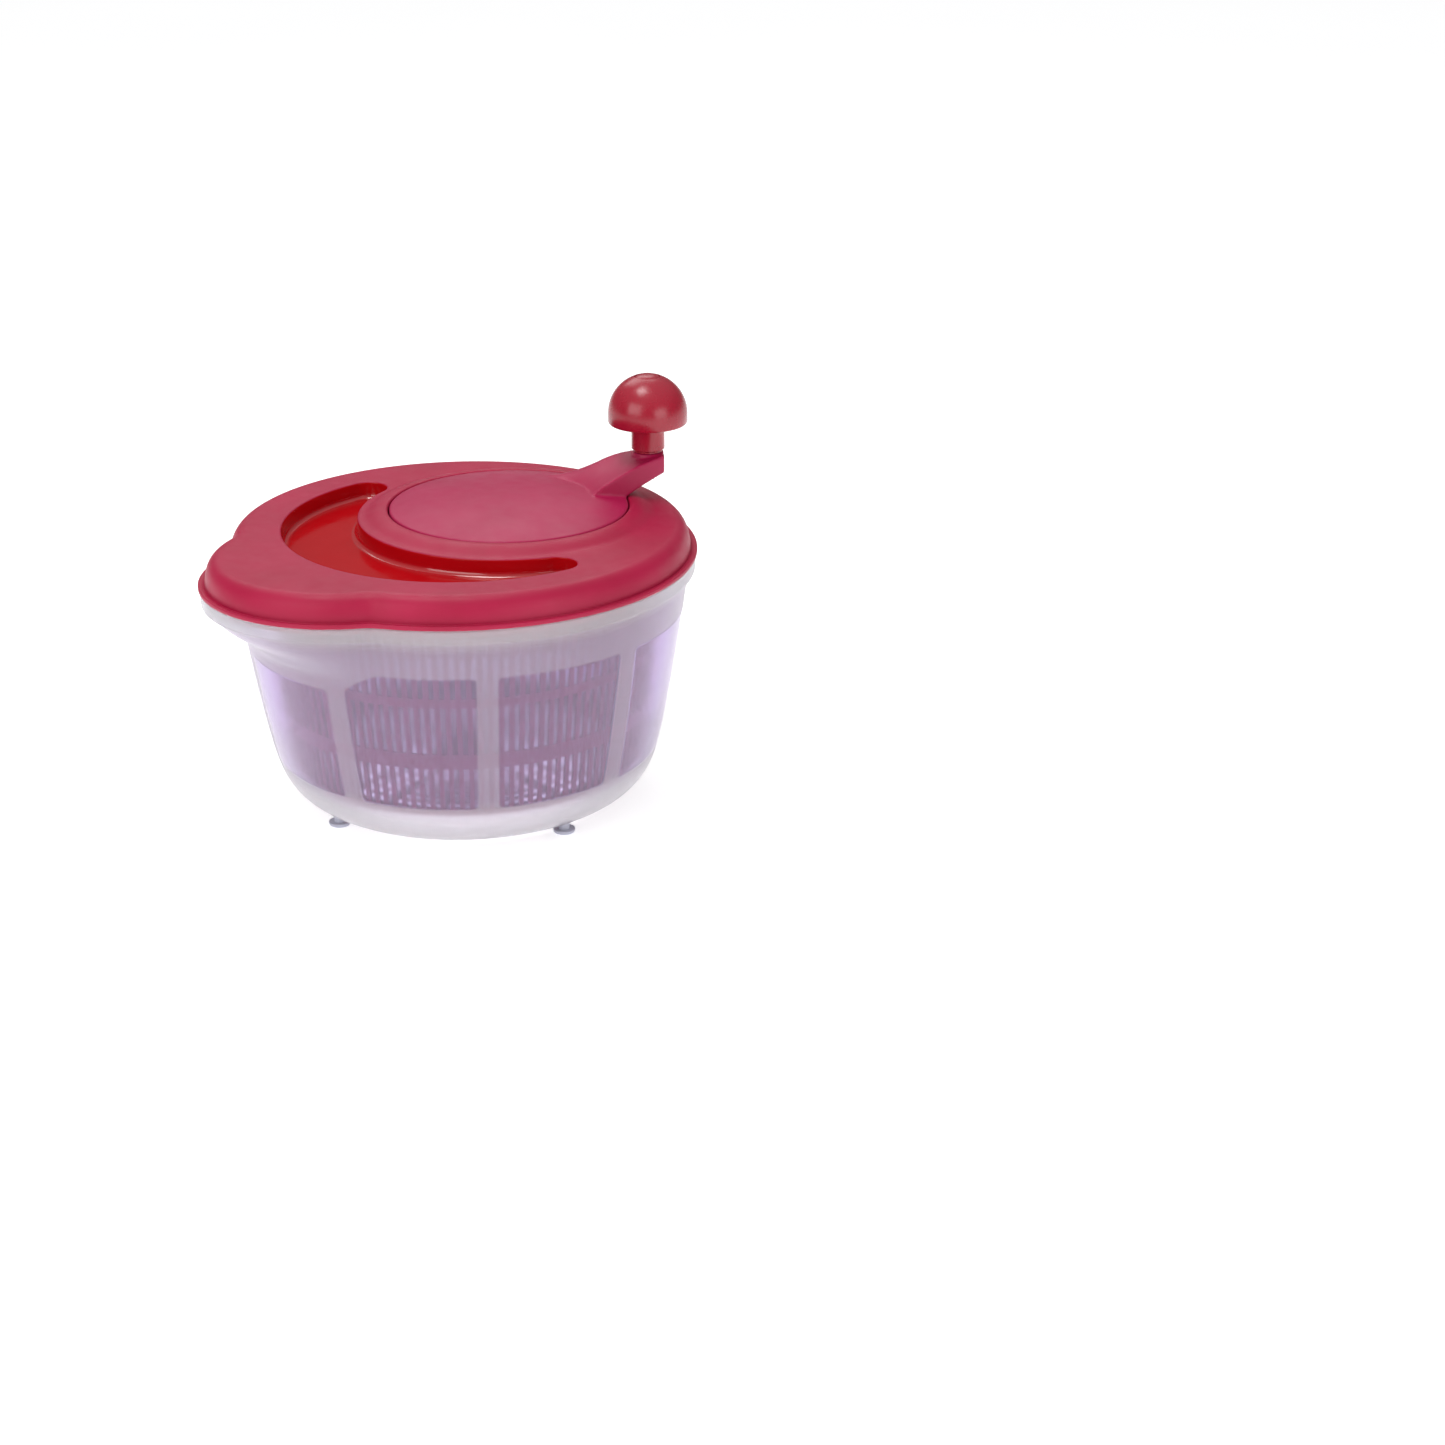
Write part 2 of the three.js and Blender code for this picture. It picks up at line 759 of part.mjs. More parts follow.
function pinionBush() {
  const bore = journalRadius + seat;
  const flangeBottom = wellTop + seat;
  const profile = [
    [bore, wellUnder],
    [pinionBushRadius, wellUnder],
    [pinionBushRadius, flangeBottom],
    [pinionBushRadius + 2, flangeBottom],
    [pinionBushRadius + 2, flangeBottom + 0.6],
    [bore, flangeBottom + 0.6],
  ];
  return piece("pinion_bush", ringed(profile), white);
}

function retainingClip() {
  const inner = journalRadius - clipGroove + seat;
  const opening = radians(25);
  const shape = new THREE.Shape();
  shape.absarc(0, 0, clipRadius, opening, 2 * Math.PI - opening, false);
  shape.absarc(0, 0, inner, 2 * Math.PI - opening, opening, true);
  const top = wellUnder - 0.1 - seat;
  return piece("retaining_clip", prism(shape, top - clipThickness, top), steel);
}

// ---- Strainer plate ---------------------------------------------------------------------------
// Cutters for the slots between radial bars of one width.
function slotsBetween(count, inner, outer) {
  const pitch = (2 * Math.PI) / count;
  const corner = (r, side) => {
    const angle = side * (pitch / 2 - Math.asin(plateBar / 2 / r));
    return point(r * Math.cos(angle), r * Math.sin(angle));
  };
  const outline = new THREE.Shape([corner(inner, -1), corner(outer, -1), corner(outer, 1), corner(inner, 1)]);
  const cutters = [];
  for (let i = 0; i < count; i += 1) {
    const cutter = prism(outline, plateBottom - 1, plateTop + 1);
    cutters.push(solid(cutter.rotateZ((i + 0.5) * pitch)));
  }
  return cutters;
}

function strainerPlate() {
  const cutters = [
    ...slotsBetween(innerSlots, plateDisc, plateRing - plateRingWidth / 2),
    ...slotsBetween(outerSlots, plateRing + plateRingWidth / 2, plateRadius - plateBorder),
  ];
  const socketTop = plateTop + socketHeight;
  let made = solid(disc(plateRadius, plateBottom, plateTop, around)).subtract(wasm.Manifold.union(cutters));
  made = made.add(solid(disc(socketRadius, plateTop - 1, socketTop)));
  made = made.subtract(solid(prism(square(squareSide + 2 * seat), squareBottom - seat, socketTop + 1)));
  const finOut = basketRadiusAt(basketTop - 3 - ribHeight) - basketWall - 0.8;
  const fin = new THREE.Shape([
    point(finOut - finBase, plateBottom + 1),
    point(finOut - finBase, plateBottom),
    point(finOut - 3, plateBottom - finDrop),
    point(finOut, plateBottom - finDrop + 1),
    point(finOut, plateBottom + 1),
  ]);
  for (let i = 0; i < finCount; i += 1) {
    const blade = prism(fin, -finThickness / 2, finThickness / 2).rotateX(Math.PI / 2);
    made = made.add(solid(blade.rotateZ((2 * Math.PI * i) / finCount)));
  }
  return piece("strainer_plate", geometryOf(made), deepRed);
}

// ---- Knob -------------------------------------------------------------------------------------
function knob() {
  const bore = knobPinRadius + seat + 0.1;
  const headSeat = capSeat - seat - knobPinHeadHeight - 2 * seat;
  const dome = [];
  const last = Math.asin(capRadius / knobRadius);
  for (let i = 0; i <= 7; i += 1) {
    const angle = Math.PI / 2 + ((last - Math.PI / 2) * i) / 7;
    dome.push([knobRadius * Math.sin(angle), domeCentre + knobRadius * Math.cos(angle)]);
  }
  const profile = [
    [bore, neckBottom],
    [neckRadius, neckBottom],
    [neckRadius, domeBottom],
    [knobRadius - 0.8, domeBottom],
    [knobRadius, domeBottom + 0.8],
    ...dome,
    [capRadius, headSeat],
    [bore, headSeat],
  ];
  return piece("knob", ringed(profile, 24), red);
}

const knobPinHeadHeight = 2.4;

function knobCap() {
  const radius = capRadius - seat;
  const profile = [
    [0, capSeat],
    [radius, capSeat],
    [radius, capSeat + capThickness - 0.2],
    [radius / 2, knobTop - 0.4],
    [0, knobTop],
  ];
  return piece("knob_cap", turned(profile), red);
}

function knobPin() {
  const headTop = capSeat - seat;
  const head = headTop - knobPinHeadHeight;
  const profile = [
    [0, armTipTop - knobPinSink],
    [knobPinRadius, armTipTop - knobPinSink],
    [knobPinRadius, head],
    [knobPinHead, head],
    [knobPinHead, headTop],
    [0, headTop],
  ];
  return piece("knob_pin", turned(profile, 16), steel);
}

const knobRing = () =>
  piece(
    "knob_washer",
    tube(knobPinRadius + seat + 0.1, neckRadius - 0.6, armTipTop + seat, armTipTop + seat + knobWasher),
    white,
  );

// ---- Assembly ---------------------------------------------------------------------------------
const spinner = new THREE.Group();
const lidGroup = new THREE.Group();
const crankGroup = new THREE.Group();
const knobGroup = new THREE.Group();

spinner.add(bowl(), pivotPin(), basket(), basketCup());
for (let i = 0; i < footCount; i += 1) spinner.add(foot(i));

lidGroup.add(lid(), pinionBush(), pinion(), retainingClip(), strainerPlate());
spinner.add(lidGroup);

const crankBearing = crankBush();
crankBearing.position.set(0, crankOffset, 0);
lidGroup.add(crankBearing);

crankGroup.position.set(0, crankOffset, 0);
crankGroup.rotation.z = radians(armAngle);
crankGroup.add(crank(), ringGear(), crankWasher(), crankScrew());
lidGroup.add(crankGroup);

knobGroup.position.set(knobReach, 0, 0);
knobGroup.add(knob(), knobCap(), knobPin(), knobRing());
crankGroup.add(knobGroup);

export default spinner;
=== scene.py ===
# %% [markdown]
# # A crank-driven salad spinner
# This file dresses a salad spinner that already exists as a set of plain solids. The solids come
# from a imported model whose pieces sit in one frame: metres, +Z up, the origin on the spin axis at
# table height, the pouring spout towards -Y. Each piece below is drawn again with the detail that
# a close look needs, rides on the body it belongs to, and takes the place of its plain solid.
# Lengths of pieces are written in millimetres and scaled once, where a mesh is made. Materials,
# lights and the camera are set in metres.

import math

import bmesh
import bpy
import numpy as np
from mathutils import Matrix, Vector
from mathutils.geometry import tessellate_polygon


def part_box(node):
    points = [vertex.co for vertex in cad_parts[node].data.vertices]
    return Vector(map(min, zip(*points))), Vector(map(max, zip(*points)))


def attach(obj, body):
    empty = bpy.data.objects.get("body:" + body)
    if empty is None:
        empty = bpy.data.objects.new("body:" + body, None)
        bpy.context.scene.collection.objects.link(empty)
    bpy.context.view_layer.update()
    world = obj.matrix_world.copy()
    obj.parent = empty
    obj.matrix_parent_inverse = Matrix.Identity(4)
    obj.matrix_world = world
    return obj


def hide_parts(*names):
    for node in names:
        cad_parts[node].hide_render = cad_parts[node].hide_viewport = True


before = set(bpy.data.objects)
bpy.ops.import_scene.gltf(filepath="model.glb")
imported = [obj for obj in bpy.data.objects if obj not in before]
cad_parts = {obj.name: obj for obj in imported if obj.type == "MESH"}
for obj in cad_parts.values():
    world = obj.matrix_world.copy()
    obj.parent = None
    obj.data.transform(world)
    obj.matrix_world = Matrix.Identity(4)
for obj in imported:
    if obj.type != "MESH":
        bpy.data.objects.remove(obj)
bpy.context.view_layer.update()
MM = 0.001

# %% [markdown]
# ## Sizes shared by several pieces
# The rim's radius and the tops of the bowl, basket, lid and crank are read from the plain solids.
# The other sizes are plain numbers that were chosen to suit those solids, so a solid that changes
# shape needs its numbers changed here too. The rim is a circle with a spout in front. The spout is
# itself an arc, set forward of the spin axis, so every outline inside the rim is the same two arcs
# made smaller.

# %% Driving sizes


def box_mm(node):
    """Lowest and highest corner of a plain solid, in millimetres."""
    return [[round(v / MM, 3) for v in corner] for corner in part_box(node)]


RIM = box_mm("lid")[1][0]
LOBE_RADIUS, LOBE_CENTRE, LOBE_BLEND = 77.6, 77.0, 3.0
BOWL_TOP, RIM_BAND = box_mm("bowl")[1][2], 8.0
BASKET_TOP = box_mm("basket")[1][2]
PLATE_LOW, PLATE_HIGH = BASKET_TOP + 0.4, BASKET_TOP + 3.0
PLATEAU, COLLAR_TOP = BOWL_TOP + 16.4, box_mm("lid")[1][2]
WELL_UNDER, WELL_FLOOR = COLLAR_TOP - 13.1, COLLAR_TOP - 11.1
CRANK_Y = 33.0
DISC_RADIUS, DISC_EDGE, DISC_DOME = 66.4, COLLAR_TOP - 0.2, 6.8
ARM_ANGLE, KNOB_REACH, ARM_TOP, ARM_TIP = 74.9, 84.9, box_mm("crank")[1][2], 9.2
KNOB_X = KNOB_REACH * math.cos(math.radians(ARM_ANGLE))
KNOB_Y = CRANK_Y + KNOB_REACH * math.sin(math.radians(ARM_ANGLE))
TURN = np.linspace(0, 2 * math.pi, 361)[:-1]


def smoothstep(low, high, value):
    share = np.clip((value - low) / (high - low), 0, 1)
    return share * share * (3 - 2 * share)


def lobed(r, angle):
    """Outline of the round rim and its spout, r being the round part's radius."""
    radius = LOBE_RADIUS - (RIM - r)
    side = LOBE_CENTRE * np.sin(angle)
    inside = (np.cos(angle) > 0) & (np.abs(side) < radius)
    reach = LOBE_CENTRE * np.cos(angle) + np.sqrt(np.maximum(radius**2 - side**2, 0))
    blend = np.maximum(LOBE_BLEND - np.abs(reach - r), 0) / LOBE_BLEND
    out = np.maximum(reach, r) + blend * blend * LOBE_BLEND / 4
    return np.where(inside, out, r)


print("spout reaches", round(float(lobed(RIM, np.array([0.0]))[0]), 1), "mm from the spin axis")

# %% [markdown]
# ## Mesh tools
# Nearly every piece is a stack of closed loops of points joined by bands of quads. A `Builder`
# collects the loops, bridges them, and fills flat areas that have holes in them. Normals are made
# to agree at the end, so no loop has to be wound in a particular direction.

# %% The builder


class Builder:
    def __init__(self):
        self.points, self.faces, self.marks = [], [], []

    def loop(self, xyz):
        first = len(self.points)
        self.points.extend(np.asarray(xyz, float).tolist())
        return list(range(first, len(self.points)))

    def bridge(self, a, b, mark=0):
        n = len(a)
        for i in range(n):
            j = (i + 1) % n
            self.faces.append((a[i], a[j], b[j], b[i]))
            self.marks.append(mark)

    def stack(self, loops, mark=0):
        for a, b in zip(loops, loops[1:]):
            self.bridge(a, b, mark)

    def fill(self, outline, holes=(), mark=0):
        rings = [outline, *holes]
        flat = [i for ring in rings for i in ring]
        polygons = [[Vector(self.points[i]) for i in ring] for ring in rings]
        for triangle in tessellate_polygon(polygons):
            self.faces.append(tuple(flat[k] for k in triangle))
            self.marks.append(mark)

    def object(self, name, materials, sharp=38, smooth=True):
        mesh = bpy.data.meshes.new(name)
        places = (np.array(self.points) * MM).tolist()
        mesh.from_pydata(places, [], self.faces)
        for material in materials:
            mesh.materials.append(material)
        mesh.polygons.foreach_set("material_index", self.marks)
        tidy = bmesh.new()
        tidy.from_mesh(mesh)
        bmesh.ops.remove_doubles(tidy, verts=tidy.verts, dist=1e-7)
        bmesh.ops.recalc_face_normals(tidy, faces=tidy.faces)
        if tidy.calc_volume(signed=True) < 0:
            bmesh.ops.reverse_faces(tidy, faces=tidy.faces)
        tidy.to_mesh(mesh)
        tidy.free()
        made = bpy.data.objects.new(name, mesh)
        bpy.context.scene.collection.objects.link(made)
        if smooth:
            shade(made, sharp)
        return made


def shade(made, sharp=38):
    made.data.polygons.foreach_set("use_smooth", [True] * len(made.data.polygons))
    made.data.set_sharp_from_angle(angle=math.radians(sharp))


def circle(r, z, centre=(0, 0), turn=TURN):
    x, y = r * np.sin(turn) + centre[0], -r * np.cos(turn) + centre[1]
    return np.stack([x, y, np.full(len(turn), float(z))], 1)


def lobed_loop(r, z, share=1.0, turn=TURN):
    out = r + (lobed(r, turn) - r) * share
    return np.stack([out * np.sin(turn), -out * np.cos(turn), np.full(len(turn), float(z))], 1)


def curve(points, steps):
    """Points of a Bezier curve of any order."""
    out = []
    for t in np.linspace(0, 1, steps + 1):
        level = [np.array(p, float) for p in points]
        while len(level) > 1:
            level = [a * (1 - t) + b * t for a, b in zip(level, level[1:])]
        out.append(tuple(level[0]))
    return out


def rounded(profile, radius, steps=3):
    """Rounds corners of a profile, each over the distance that is given for it."""
    out = [profile[0]]
    for i in range(1, len(profile) - 1):
        r = radius.get(i, 0)
        a, b, c = (np.array(profile[k], float) for k in (i - 1, i, i + 1))
        if r <= 0:
            out.append(tuple(b))
            continue
        back = (a - b) / np.linalg.norm(a - b)
        on = (c - b) / np.linalg.norm(c - b)
        out.extend(curve([b + back * r, b, b + on * r], steps))
    out.append(profile[-1])
    return out


def lathe(name, profile, materials, centre=(0, 0), count=192, sharp=38, closed=False):
    """Turns a profile of (radius, height) points about an upright axis."""
    turn = np.linspace(0, 2 * math.pi, count + 1)[:-1]
    build = Builder()
    rings = [build.loop(circle(max(r, 1e-5), z, centre, turn)) for r, z in profile]
    build.stack(rings)
    if closed:
        build.bridge(rings[-1], rings[0])
    return build.object(name, materials, sharp)


def prism_strip(name, profile, width, materials, sharp=38):
    """A closed (radius, height) outline made as wide as a bar, lying along +X."""
    build = Builder()
    near = build.loop([(r, -width / 2, z) for r, z in profile])
    far = build.loop([(r, width / 2, z) for r, z in profile])
    build.bridge(near, far)
    build.fill(near)
    build.fill(far)
    return build.object(name, materials, sharp)


def places_of(made):
    """An object's vertices as rows of x, y and z, in metres."""
    places = np.zeros(len(made.data.vertices) * 3)
    made.data.vertices.foreach_get("co", places)
    return places.reshape(-1, 3)


def dress(made, body, nodes):
    """Rides a finished piece on its body, in the place of its plain solids."""
    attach(made, body)
    for node in nodes:
        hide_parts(node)
    print(f"{made.name}: {len(made.data.polygons)} faces on {body}")


print("mesh tools ready")


# %% [markdown]
# ## One node group for everything that repeats
# A basket has hundreds of equal bars. The group below takes one piece, puts copies of it at equal
# angles about the Z axis, makes them real geometry and gives them their material. It is run once
# for each set of bars, spokes, ridges, ribs or fins, and the result is kept as a plain mesh.

# %% Copies around an axis
ring_group = bpy.data.node_groups.new("Copies around an axis", "GeometryNodeTree")
sockets = {}
for label, kind in (
    ("Piece", "NodeSocketGeometry"),
    ("Copies", "NodeSocketInt"),
    ("First angle", "NodeSocketFloat"),
    ("Material", "NodeSocketMaterial"),
):
    sockets[label] = ring_group.interface.new_socket(label, in_out="INPUT", socket_type=kind).identifier
ring_group.interface.new_socket("Pieces", in_out="OUTPUT", socket_type="NodeSocketGeometry")
gn = {
    key: ring_group.nodes.new(kind)
    for key, kind in {
        "in": "NodeGroupInput",
        "out": "NodeGroupOutput",
        "line": "GeometryNodeMeshLine",
        "index": "GeometryNodeInputIndex",
        "share": "ShaderNodeMath",
        "angle": "ShaderNodeMath",
        "turn": "ShaderNodeCombineXYZ",
        "copy": "GeometryNodeInstanceOnPoints",
        "real": "GeometryNodeRealizeInstances",
        "paint": "GeometryNodeSetMaterial",
    }.items()
}
gn["line"].inputs["Offset"].default_value = (0, 0, 0)
gn["share"].operation = "DIVIDE"
gn["angle"].operation = "MULTIPLY_ADD"
gn["angle"].inputs[1].default_value = 2 * math.pi
for a, b in (
    (gn["in"].outputs["Copies"], gn["line"].inputs["Count"]),
    (gn["index"].outputs[0], gn["share"].inputs[0]),
    (gn["in"].outputs["Copies"], gn["share"].inputs[1]),
    (gn["share"].outputs[0], gn["angle"].inputs[0]),
    (gn["in"].outputs["First angle"], gn["angle"].inputs[2]),
    (gn["angle"].outputs[0], gn["turn"].inputs["Z"]),
    (gn["line"].outputs[0], gn["copy"].inputs["Points"]),
    (gn["in"].outputs["Piece"], gn["copy"].inputs["Instance"]),
    (gn["turn"].outputs[0], gn["copy"].inputs["Rotation"]),
    (gn["copy"].outputs[0], gn["real"].inputs[0]),
    (gn["real"].outputs[0], gn["paint"].inputs["Geometry"]),
    (gn["in"].outputs["Material"], gn["paint"].inputs["Material"]),
    (gn["paint"].outputs[0], gn["out"].inputs[0]),
):
    ring_group.links.new(a, b)


def keep(made):
    """Turns an object's modifiers into its own plain mesh."""
    bpy.context.view_layer.update()
    seen = made.evaluated_get(bpy.context.evaluated_depsgraph_get())
    mesh = bpy.data.meshes.new_from_object(seen)
    made.modifiers.clear()
    old, made.data = made.data, mesh
    bpy.data.meshes.remove(old)


def repeat(made, copies, material, first=0.0):
    """Replaces one piece by equal copies about the spin axis."""
    step = made.modifiers.new("around", "NODES")
    step.node_group = ring_group
    step[sockets["Copies"]] = copies
    step[sockets["First angle"]] = float(first)
    step[sockets["Material"]] = material
    keep(made)
    return made


def join(name, parts):
    """Joins finished meshes into one object."""
    whole = bmesh.new()
    materials = []
    for part in parts:
        for material in part.data.materials:
            if material not in materials:
                materials.append(material)
    for part in parts:
        first = len(whole.faces)
        whole.from_mesh(part.data)
        whole.faces.ensure_lookup_table()
        index = [materials.index(m) for m in part.data.materials]
        for face in whole.faces[first:]:
            face.material_index = index[min(face.material_index, len(index) - 1)] if index else 0
        bpy.data.objects.remove(part)
    mesh = bpy.data.meshes.new(name)
    for material in materials:
        mesh.materials.append(material)
    whole.to_mesh(mesh)
    whole.free()
    made = bpy.data.objects.new(name, mesh)
    bpy.context.scene.collection.objects.link(made)
    return made


print("node group ready:", ring_group.name)

# %% [markdown]
# ## Materials
# Every finish is built from object coordinates, so it needs no image. `Finish` is a short way of
# writing a node tree: each call adds a node, links what is linked, and writes plain numbers
# straight into the sockets.

# %% A short way to write node trees


class Finish:
    def __init__(self, name):
        self.material = bpy.data.materials.new(name)
        self.material.use_nodes = True
        self.tree = self.material.node_tree
        self.shader = self.tree.nodes["Principled BSDF"]
        self.place = self.tree.nodes.new("ShaderNodeTexCoord").outputs["Object"]
        split = self.tree.nodes.new("ShaderNodeSeparateXYZ")
        self.tree.links.new(self.place, split.inputs[0])
        self.x, self.y, self.z = split.outputs

    def put(self, socket, value):
        if isinstance(value, bpy.types.NodeSocket):
            self.tree.links.new(value, socket)
        else:
            socket.default_value = value

    def set(self, **values):
        for key, value in values.items():
            self.put(self.shader.inputs[key.replace("_", " ")], value)

    def math(self, operation, a, b=0.0, c=0.0, clamp=False):
        node = self.tree.nodes.new("ShaderNodeMath")
        node.operation, node.use_clamp = operation, clamp
        for socket, value in zip(node.inputs, (a, b, c)):
            self.put(socket, value)
        return node.outputs[0]

    def from_axis(self):
        """Distance of a point from the spin axis."""
        squares = [self.math("MULTIPLY", v, v) for v in (self.x, self.y)]
        return self.math("SQRT", self.math("ADD", *squares))

    def noise(self, scale, detail=2.0, rough=0.5):
        node = self.tree.nodes.new("ShaderNodeTexNoise")
        self.tree.links.new(self.place, node.inputs["Vector"])
        node.inputs["Scale"].default_value = scale
        node.inputs["Detail"].default_value = detail
        node.inputs["Roughness"].default_value = rough
        return node.outputs["Fac"]

    def spread(self, value, low, high, new_low, new_high):
        node = self.tree.nodes.new("ShaderNodeMapRange")
        for socket, number in zip(node.inputs, (value, low, high, new_low, new_high)):
            self.put(socket, number)
        return node.outputs[0]

    def mix(self, factor, a, b):
        node = self.tree.nodes.new("ShaderNodeMix")
        node.data_type = "RGBA"
        self.put(node.inputs["Factor"], factor)
        colours = [s for s in node.inputs if s.type == "RGBA"]
        self.put(colours[0], a)
        self.put(colours[1], b)
        return [s for s in node.outputs if s.type == "RGBA"][0]

    def bump(self, height, distance, strength=1.0, under=None):
        node = self.tree.nodes.new("ShaderNodeBump")
        node.inputs["Strength"].default_value = strength
        node.inputs["Distance"].default_value = distance
        self.tree.links.new(height, node.inputs["Height"])
        if under is not None:
            self.tree.links.new(under, node.inputs["Normal"])
        return node.outputs["Normal"]


def srgb(r, g, b):
    """An everyday 0-255 colour as the linear colour that shaders use."""
    channel = lambda c: c / 12.92 if c <= 0.04045 else ((c + 0.055) / 1.055) ** 2.4
    return (*[channel(v / 255) for v in (r, g, b)], 1.0)


print("everyday mid grey as linear:", [round(v, 3) for v in srgb(128, 128, 128)])

# %% [markdown]
# Most pieces are coloured plastic, and one recipe makes them all. A slow noise clouds the colour a
# little, a faster one makes the sheen uneven, and a very fine one is the grain that the mould
# leaves. The crescent tray is polished, with no grain to speak of, and its bottom edge is given a
# stronger reflection, because a tight polished curve draws the lamp out into a bright line.


# %% Moulded plastics


def moulded(name, light, dark, rough, grain, grain_depth, soft=0.0, level=0.36):
    """A coloured plastic: faint cloudy colour, uneven sheen and a fine moulded grain."""
    made = Finish(name)
    cloud = made.noise(28.0, 3.0, 0.55)
    fine = made.noise(grain, 2.0, 0.6)
    made.set(
        Base_Color=made.mix(made.spread(cloud, 0.3, 0.7, 0.0, 1.0), dark, light),
        Roughness=made.spread(made.noise(90.0, 3.0), 0.3, 0.7, rough - 0.04, rough + 0.05),
        Normal=made.bump(fine, grain_depth),
        IOR=1.49,
        Specular_IOR_Level=level,
        Subsurface_Weight=soft,
        Subsurface_Radius=(1.0, 0.2, 0.2),
        Subsurface_Scale=0.002,
    )
    return made.material


lid_matte = moulded("lid_matte", srgb(176, 15, 65), srgb(167, 13, 59), 0.46, 2600.0, 0.00006)
disc_matte = moulded("crank_matte", srgb(178, 22, 79), srgb(170, 19, 73), 0.42, 2600.0, 0.00006)
tray_gloss = moulded("tray_gloss", srgb(182, 10, 20), srgb(175, 8, 17), 0.13, 500.0, 0.00001, level=0.14)
tray_edge = moulded("tray_edge", srgb(182, 10, 24), srgb(175, 8, 20), 0.12, 500.0, 0.00001, level=0.9)
knob_satin = moulded("knob_satin", srgb(167, 17, 46), srgb(159, 15, 42), 0.25, 2600.0, 0.00003, level=0.62)
plate_red = moulded("plate_red", srgb(150, 14, 44), srgb(140, 11, 39), 0.30, 1400.0, 0.00003)
basket_plastic = moulded("basket_plastic", srgb(166, 20, 75), srgb(154, 17, 67), 0.27, 1200.0, 0.00003)
acetal = moulded("acetal_white", srgb(236, 234, 226), srgb(228, 226, 217), 0.38, 1500.0, 0.00003, soft=0.2)
rubber = moulded("foot_rubber", srgb(206, 206, 220), srgb(194, 194, 209), 0.62, 3200.0, 0.00008)

print("plastics:", len(bpy.data.materials))

# %% [markdown]
# The pins, the screw, the washer and the clip are bright steel. Very fine noise stands for the
# marks of the lathe: it makes the reflection uneven, but can hardly be seen as relief.

# %% Turned steel
steel_made = Finish("turned_steel")
lines = steel_made.noise(9000.0, 1.0)
steel_made.set(
    Base_Color=steel_made.mix(steel_made.noise(60.0, 3.0), srgb(196, 198, 201), srgb(214, 215, 217)),
    Metallic=1.0,
    Roughness=steel_made.spread(lines, 0.3, 0.7, 0.18, 0.32),
    Normal=steel_made.bump(lines, 0.000005),
)
steel = steel_made.material
print("steel:", steel.name)

# %% [markdown]
# ## The bowl's plastic
# The bowl is one moulding with two finishes. Polished windows stand between frosted ribs, with a
# frosted band above them and a frosted base below. The shader works out how far a point lies
# inside its window: across from the nearest rib, down from the window's top, which follows the
# scoop under the spout, and up from its foot. Corners are rounded by taking the distance to a
# rounded rectangle. The flat middle of the underside is polished too. The frosted wall in front
# of the basket is painted a little darker and more violet than the rim and the base. This is
# painted shade: it stands in for the shaded basket that shows through the wall.

# %% Frosted and polished bowl
bowl_made = Finish("bowl_plastic")
m = bowl_made.math
round_angle = m("ABSOLUTE", m("ARCTAN2", bowl_made.x, m("MULTIPLY", bowl_made.y, -1.0)))
degrees = m("MULTIPLY", round_angle, 180 / math.pi)
off_rib = m("ABSOLUTE", m("SUBTRACT", m("MODULO", degrees, 40.0), 20.0))
reach = bowl_made.from_axis()
across = m("SUBTRACT", m("MULTIPLY", m("MULTIPLY", off_rib, math.pi / 180), reach), 0.0055)
scoop = bowl_made.tree.nodes.new("ShaderNodeMapRange")
scoop.interpolation_type = "SMOOTHSTEP"
for socket, number in zip(scoop.inputs, (degrees, 18.0, 34.0, 0.0965, 0.1102)):
    bowl_made.put(socket, number)
height = m("MINIMUM", m("SUBTRACT", scoop.outputs[0], bowl_made.z), m("SUBTRACT", bowl_made.z, 0.0305))
corner = 0.003
short_x = m("MAXIMUM", m("SUBTRACT", corner, across), 0.0)
short_z = m("MAXIMUM", m("SUBTRACT", corner, height), 0.0)
outside = m("SQRT", m("ADD", m("MULTIPLY", short_x, short_x), m("MULTIPLY", short_z, short_z)))
window = m("MULTIPLY_ADD", m("SUBTRACT", corner, outside), 1 / 0.0009, 0.2, clamp=True)
base = m("MULTIPLY", m("LESS_THAN", reach, 0.066), m("LESS_THAN", bowl_made.z, 0.016))
polish = m("MAXIMUM", window, base)
# Painted shade: these masks pick out the frosted band between the base and the rim, which is painted darker
# and more violet than the rim and the base.
painted_shade_above_base = bowl_made.spread(bowl_made.z, 0.022, 0.036, 0.0, 1.0)
painted_shade_below_rim = bowl_made.spread(bowl_made.z, 0.124, 0.132, 1.0, 0.0)
frost_and_painted_shade = bowl_made.mix(m("MULTIPLY", painted_shade_above_base, painted_shade_below_rim), srgb(249, 247, 253), srgb(224, 210, 233))
frost_grain = bowl_made.noise(1500.0, 3.0, 0.6)
relief = bowl_made.bump(window, 0.00025, 0.8, bowl_made.bump(frost_grain, 0.00003))
bowl_made.set(
    Base_Color=bowl_made.mix(window, frost_and_painted_shade, srgb(226, 208, 246)),
    Roughness=bowl_made.spread(polish, 0.0, 1.0, 0.27, 0.02),
    Transmission_Weight=bowl_made.spread(polish, 0.0, 1.0, 0.74, 0.87),
    IOR=1.47,
    Normal=relief,
)
bowl_plastic = bowl_made.material
print("materials:", len(bpy.data.materials))

# %% [markdown]
# ## Bowl
# The bowl is a single skin: up the outside from the middle of its underside, over the rim, down
# the inside and round the pivot's boss. Below the rim the wall is round, and over its last 30 mm
# it swells into the spout.

# %% Bowl
rim_low = BOWL_TOP - RIM_BAND
wall = curve([(75, 2), (92, 2), (102.4, 12), (106.6, 26)], 14)
wall += curve([(106.6, 26), (112.5, 43), (122, 104.2), (125, rim_low - 0.6)], 34)[1:]


def inset(line, thickness):
    line = np.array(line, float)
    along = np.gradient(line, axis=0)
    along /= np.linalg.norm(along, axis=1)[:, None]
    return [tuple(p) for p in line + np.stack([-along[:, 1], along[:, 0]], 1) * thickness]


